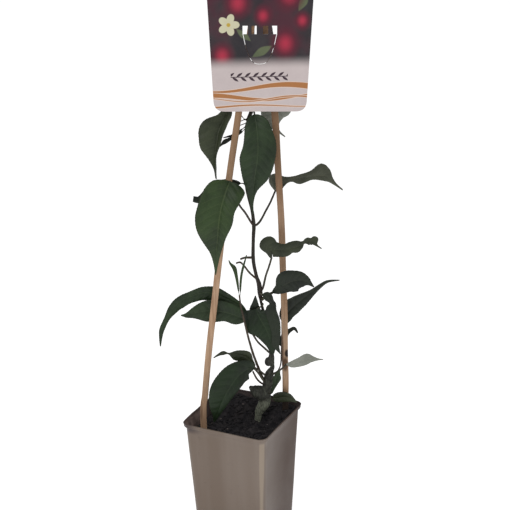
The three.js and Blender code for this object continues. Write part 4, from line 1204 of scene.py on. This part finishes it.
def make_stem():
    """The stem, its stump and its bud, melted into one skin and roughened."""
    shape = Shape()
    shape.add(*tube(fine_rows(STEM, 2), STEM_SIDES))
    shape.add(*tube(fine_rows(BRANCH_STUMP, 1.5), STEM_SIDES))
    shape.add(*tube(fine_rows(BUD_STALK, 1), 16))
    x, y, middle = BUD_CENTRE
    bud = []
    for up in np.linspace(-0.98, 0.98, 12):
        bud.append([x, y, middle + up * BUD_HALF_HEIGHT, BUD_RADIUS * math.sqrt(1 - up * up)])
    shape.add(*tube(np.array(bud), STEM_SIDES))
    for twig in TWIGS:
        shape.add(*tube(fine_rows(with_radii(twig, TWIG_RADIUS, TWIG_RADIUS), 0.8), 8))
    mesh = applied(shape.mesh("vine_stem"), "REMESH", mode="VOXEL", voxel_size=STEM_VOXEL * MM)
    places = np.array([vertex.co[:] for vertex in mesh.vertices])
    normals = np.array([normal.vector[:] for normal in mesh.vertex_normals])
    for place, normal in zip(places, normals):
        x, y, z = place / MM
        old = 1 - float(smooth(258, 285, z))
        rough = noise.fractal(Vector((x, y, z * 0.4)) * 0.45, 0.8, 2.1, 4)
        place += normal * rough * (0.12 + 0.45 * old) * MM
    mesh.vertices.foreach_set("co", places.ravel())
    mesh.polygons.foreach_set("use_smooth", [True] * len(mesh.polygons))
    make_piece("vine_stem", mesh, [bark_material()], "main_stem")


def make_shoot(name, points, radii, material):
    rows = fine_rows(with_radii(points, *radii), STALK_SPACING)
    solid_piece(f"{name}_skin", tube(rows, STALK_SIDES, 0.2, len(name)), material, name)


# Leaves


def half_profile(width, bend, curl, curl_from):
    """How a half blade runs out from the midrib: its reach, height and slope at each column."""
    columns = np.linspace(0, 1, BLADE_COLUMNS)
    slope = bend * (1 - 2 * columns) + curl * smooth(curl_from, 1, columns)
    step = 1 / (BLADE_COLUMNS - 1)
    middle = (slope[1:] + slope[:-1]) / 2
    reach = np.concatenate([[0], np.cumsum(np.cos(middle) * step)])
    height = np.concatenate([[0], np.cumsum(np.sin(middle) * step)])
    scale = width / max(reach)
    return columns, reach * scale, height * scale, slope


def blade_row(looks, radius, seed, t, length, row, along, spacing):
    """The ring of points round one row of a blade, with what the surface stores at each."""
    facing = unit(FRONT - along * FRONT.dot(along))
    across = np.cross(along, facing)
    near = min(t / looks.get("base_round", 0.1), 1)
    rounding = math.sqrt(1 - (1 - near) ** 2)
    lifts = looks.get("lift", [[0, 0], [0, 0]])
    curl_half, curl_start, curl_end, curl_from, curl_angle = looks.get("curl", (0, 0, 1, 0.9, 0))
    rib = 0.7 * radius * (1 - t) ** 0.7
    halves = []
    for k, sign in enumerate((1, -1)):
        lift = math.radians(lifts[k][0] + (lifts[k][1] - lifts[k][0]) * t)
        width = max(row[3 + k] * rounding, BLADE_EDGE_HALF) / math.cos(lift)
        wide = min(1, width / 6)
        out = across * sign * math.cos(lift) + facing * math.sin(lift)
        normal = facing * math.cos(lift) - across * sign * math.sin(lift)
        curl = 0.0
        if k == curl_half:
            fade = smooth(curl_start, curl_start + 0.15, t) * (1 - smooth(curl_end, 1.01, t))
            curl = math.radians(curl_angle) * float(fade)
        bend = math.radians(BLADE_BEND) * wide
        columns, reach, height, slope = half_profile(width, bend, curl, curl_from)
        phase = (length - 0.75 * width * columns**1.2) / spacing + 0.25 * sign * columns
        swell = 0.04 * min(width, 14) * np.sin(math.pi * phase) ** 2
        swell = swell * smooth(0, 0.2, columns) * (1 - smooth(0.7, 1, columns))
        wave = noise.noise(Vector((length / 13, seed, 4 * k))) * (0.35 + 0.07 * width) * rounding
        tooth = 0.35 * (length / 3.1 % 1) * wide * smooth(0.8, 1, columns)
        height = height + swell + wave * columns**2
        local = np.outer(np.cos(slope), normal) - np.outer(np.sin(slope), out)
        thick = BLADE_THICKNESS * (0.5 - 0.22 * columns)
        ridge = rib * np.exp(-((reach / 1.1) ** 2))
        middle = row[:3] + np.outer(reach + tooth, out) + np.outer(height, normal)
        upper = middle + local * (thick - 0.25 * ridge)[:, None]
        lower = middle - local * (thick + ridge)[:, None]
        stored = np.column_stack([sign * columns, phase, np.full(BLADE_COLUMNS, t)])
        halves.append((upper, lower, stored))
    (upper, lower, stored), (far_upper, far_lower, far_stored) = halves
    lower[0] = (lower[0] + far_lower[0]) / 2
    ring = np.vstack([lower[::-1], far_lower[1:], far_upper[::-1], upper[1:]])
    return ring, np.vstack([stored[::-1], far_stored[1:], far_stored[::-1], stored[1:]])


def add_blade(shape, ribs, looks, radius, seed):
    rows = fine_rows(ribs, BLADE_SPACING)
    along = tangents(rows[:, :3])
    lengths = lengths_along(rows[:, :3])
    spacing = min(max(lengths[-1] / 9, 3.5), 9)
    rings = []
    surface = []
    for i, row in enumerate(rows):
        t = i / (len(rows) - 1)
        ring, stored = blade_row(looks, radius, seed, t, lengths[i], row, along[i], spacing)
        rings.append(ring)
        surface.extend(stored)
    vertices, faces = loft(rings)
    under = 2 * BLADE_COLUMNS - 2
    materials = [int(min(face) % len(rings[0]) < under) for face in faces[:-2]]
    shape.add(vertices, faces, materials + [0, 0], surface)


def make_leaf(name, seed, tones, tone, radius, stalk, ribs, looks):
    shape = Shape()
    add_blade(shape, ribs, looks, radius, seed)
    rows = fine_rows(with_radii(stalk, radius, radius * STALK_TAPER), LEAF_STALK_SPACING)
    shape.add(*tube(rows, STALK_SIDES, 0.15, seed), 2)
    make_piece(f"{name}_blade", shape.mesh(name), tones[tone], name)


# Stage

CAMERA_TURN = math.radians(26.55)
CAMERA_PITCH = math.radians(19.7)
CAMERA_ROLL = math.radians(-1.31)
CAMERA_PLACE = (598.7, -1155.5, 881.1)
CAMERA_LENS = 85.2
SENSOR_WIDTH = 36
FLOOR_REACH = 8
LIGHT_AIM = (0, 0, 0.36)


def make_camera():
    level = Vector((math.cos(CAMERA_TURN), math.sin(CAMERA_TURN), 0))
    ahead = Vector((0, 0, 1)).cross(level) * math.cos(CAMERA_PITCH)
    ahead.z = -math.sin(CAMERA_PITCH)
    upright = level.cross(ahead)
    right = level * math.cos(CAMERA_ROLL) + upright * math.sin(CAMERA_ROLL)
    up = upright * math.cos(CAMERA_ROLL) - level * math.sin(CAMERA_ROLL)
    data = bpy.data.cameras.new("camera")
    data.lens = CAMERA_LENS
    data.sensor_width = SENSOR_WIDTH
    camera = placed("camera", data)
    camera.matrix_world = Matrix((right, up, -ahead)).transposed().to_4x4()
    camera.location = Vector(CAMERA_PLACE) * MM
    bpy.context.scene.camera = camera


def make_light(name, place, size, power):
    """A square area light that faces the plant's middle."""
    data = bpy.data.lights.new(name, "AREA")
    data.size = size
    data.energy = power
    light = placed(name, data)
    light.location = place
    aim = Vector(LIGHT_AIM) - Vector(place)
    light.rotation_euler = aim.to_track_quat("-Z", "Y").to_euler()


def make_stage():
    mesh = bpy.data.meshes.new("floor")
    corners = [(-1, -1, 0), (1, -1, 0), (1, 1, 0), (-1, 1, 0)]
    mesh.from_pydata([Vector(corner) * FLOOR_REACH for corner in corners], [], [(0, 1, 2, 3)])
    mesh.materials.append(floor_material())
    placed("floor", mesh)
    world = bpy.data.worlds.new("studio")
    world.use_nodes = True
    background = world.node_tree.nodes["Background"].inputs
    background["Color"].default_value = (1, 1, 1, 1)
    background["Strength"].default_value = 0.5
    bpy.context.scene.world = world
    bpy.context.scene.view_settings.view_transform = "Standard"
    make_light("key_light", (-0.3, -1.6, 1.9), 1.2, 15)
    make_light("fill_light", (1.7, -0.5, 1.1), 1.4, 4)


make_stage()
make_camera()
make_pot()
make_soil()
cane_wood = cane_material()
for seed, (name, centres) in enumerate(CANES.items()):
    make_cane(name, centres, seed * 9, cane_wood)
make_label()
make_strap()
make_stem()
shoot_skin = stalk_material("green_shoot", (42, 34, 28), (70, 60, 44))
for name, (points, radii) in SHOOTS.items():
    make_shoot(name, points, radii, shoot_skin)
tones = leaf_materials()
for seed, (name, leaf) in enumerate(LEAVES.items()):
    make_leaf(name, seed * 3.7, tones, *leaf)
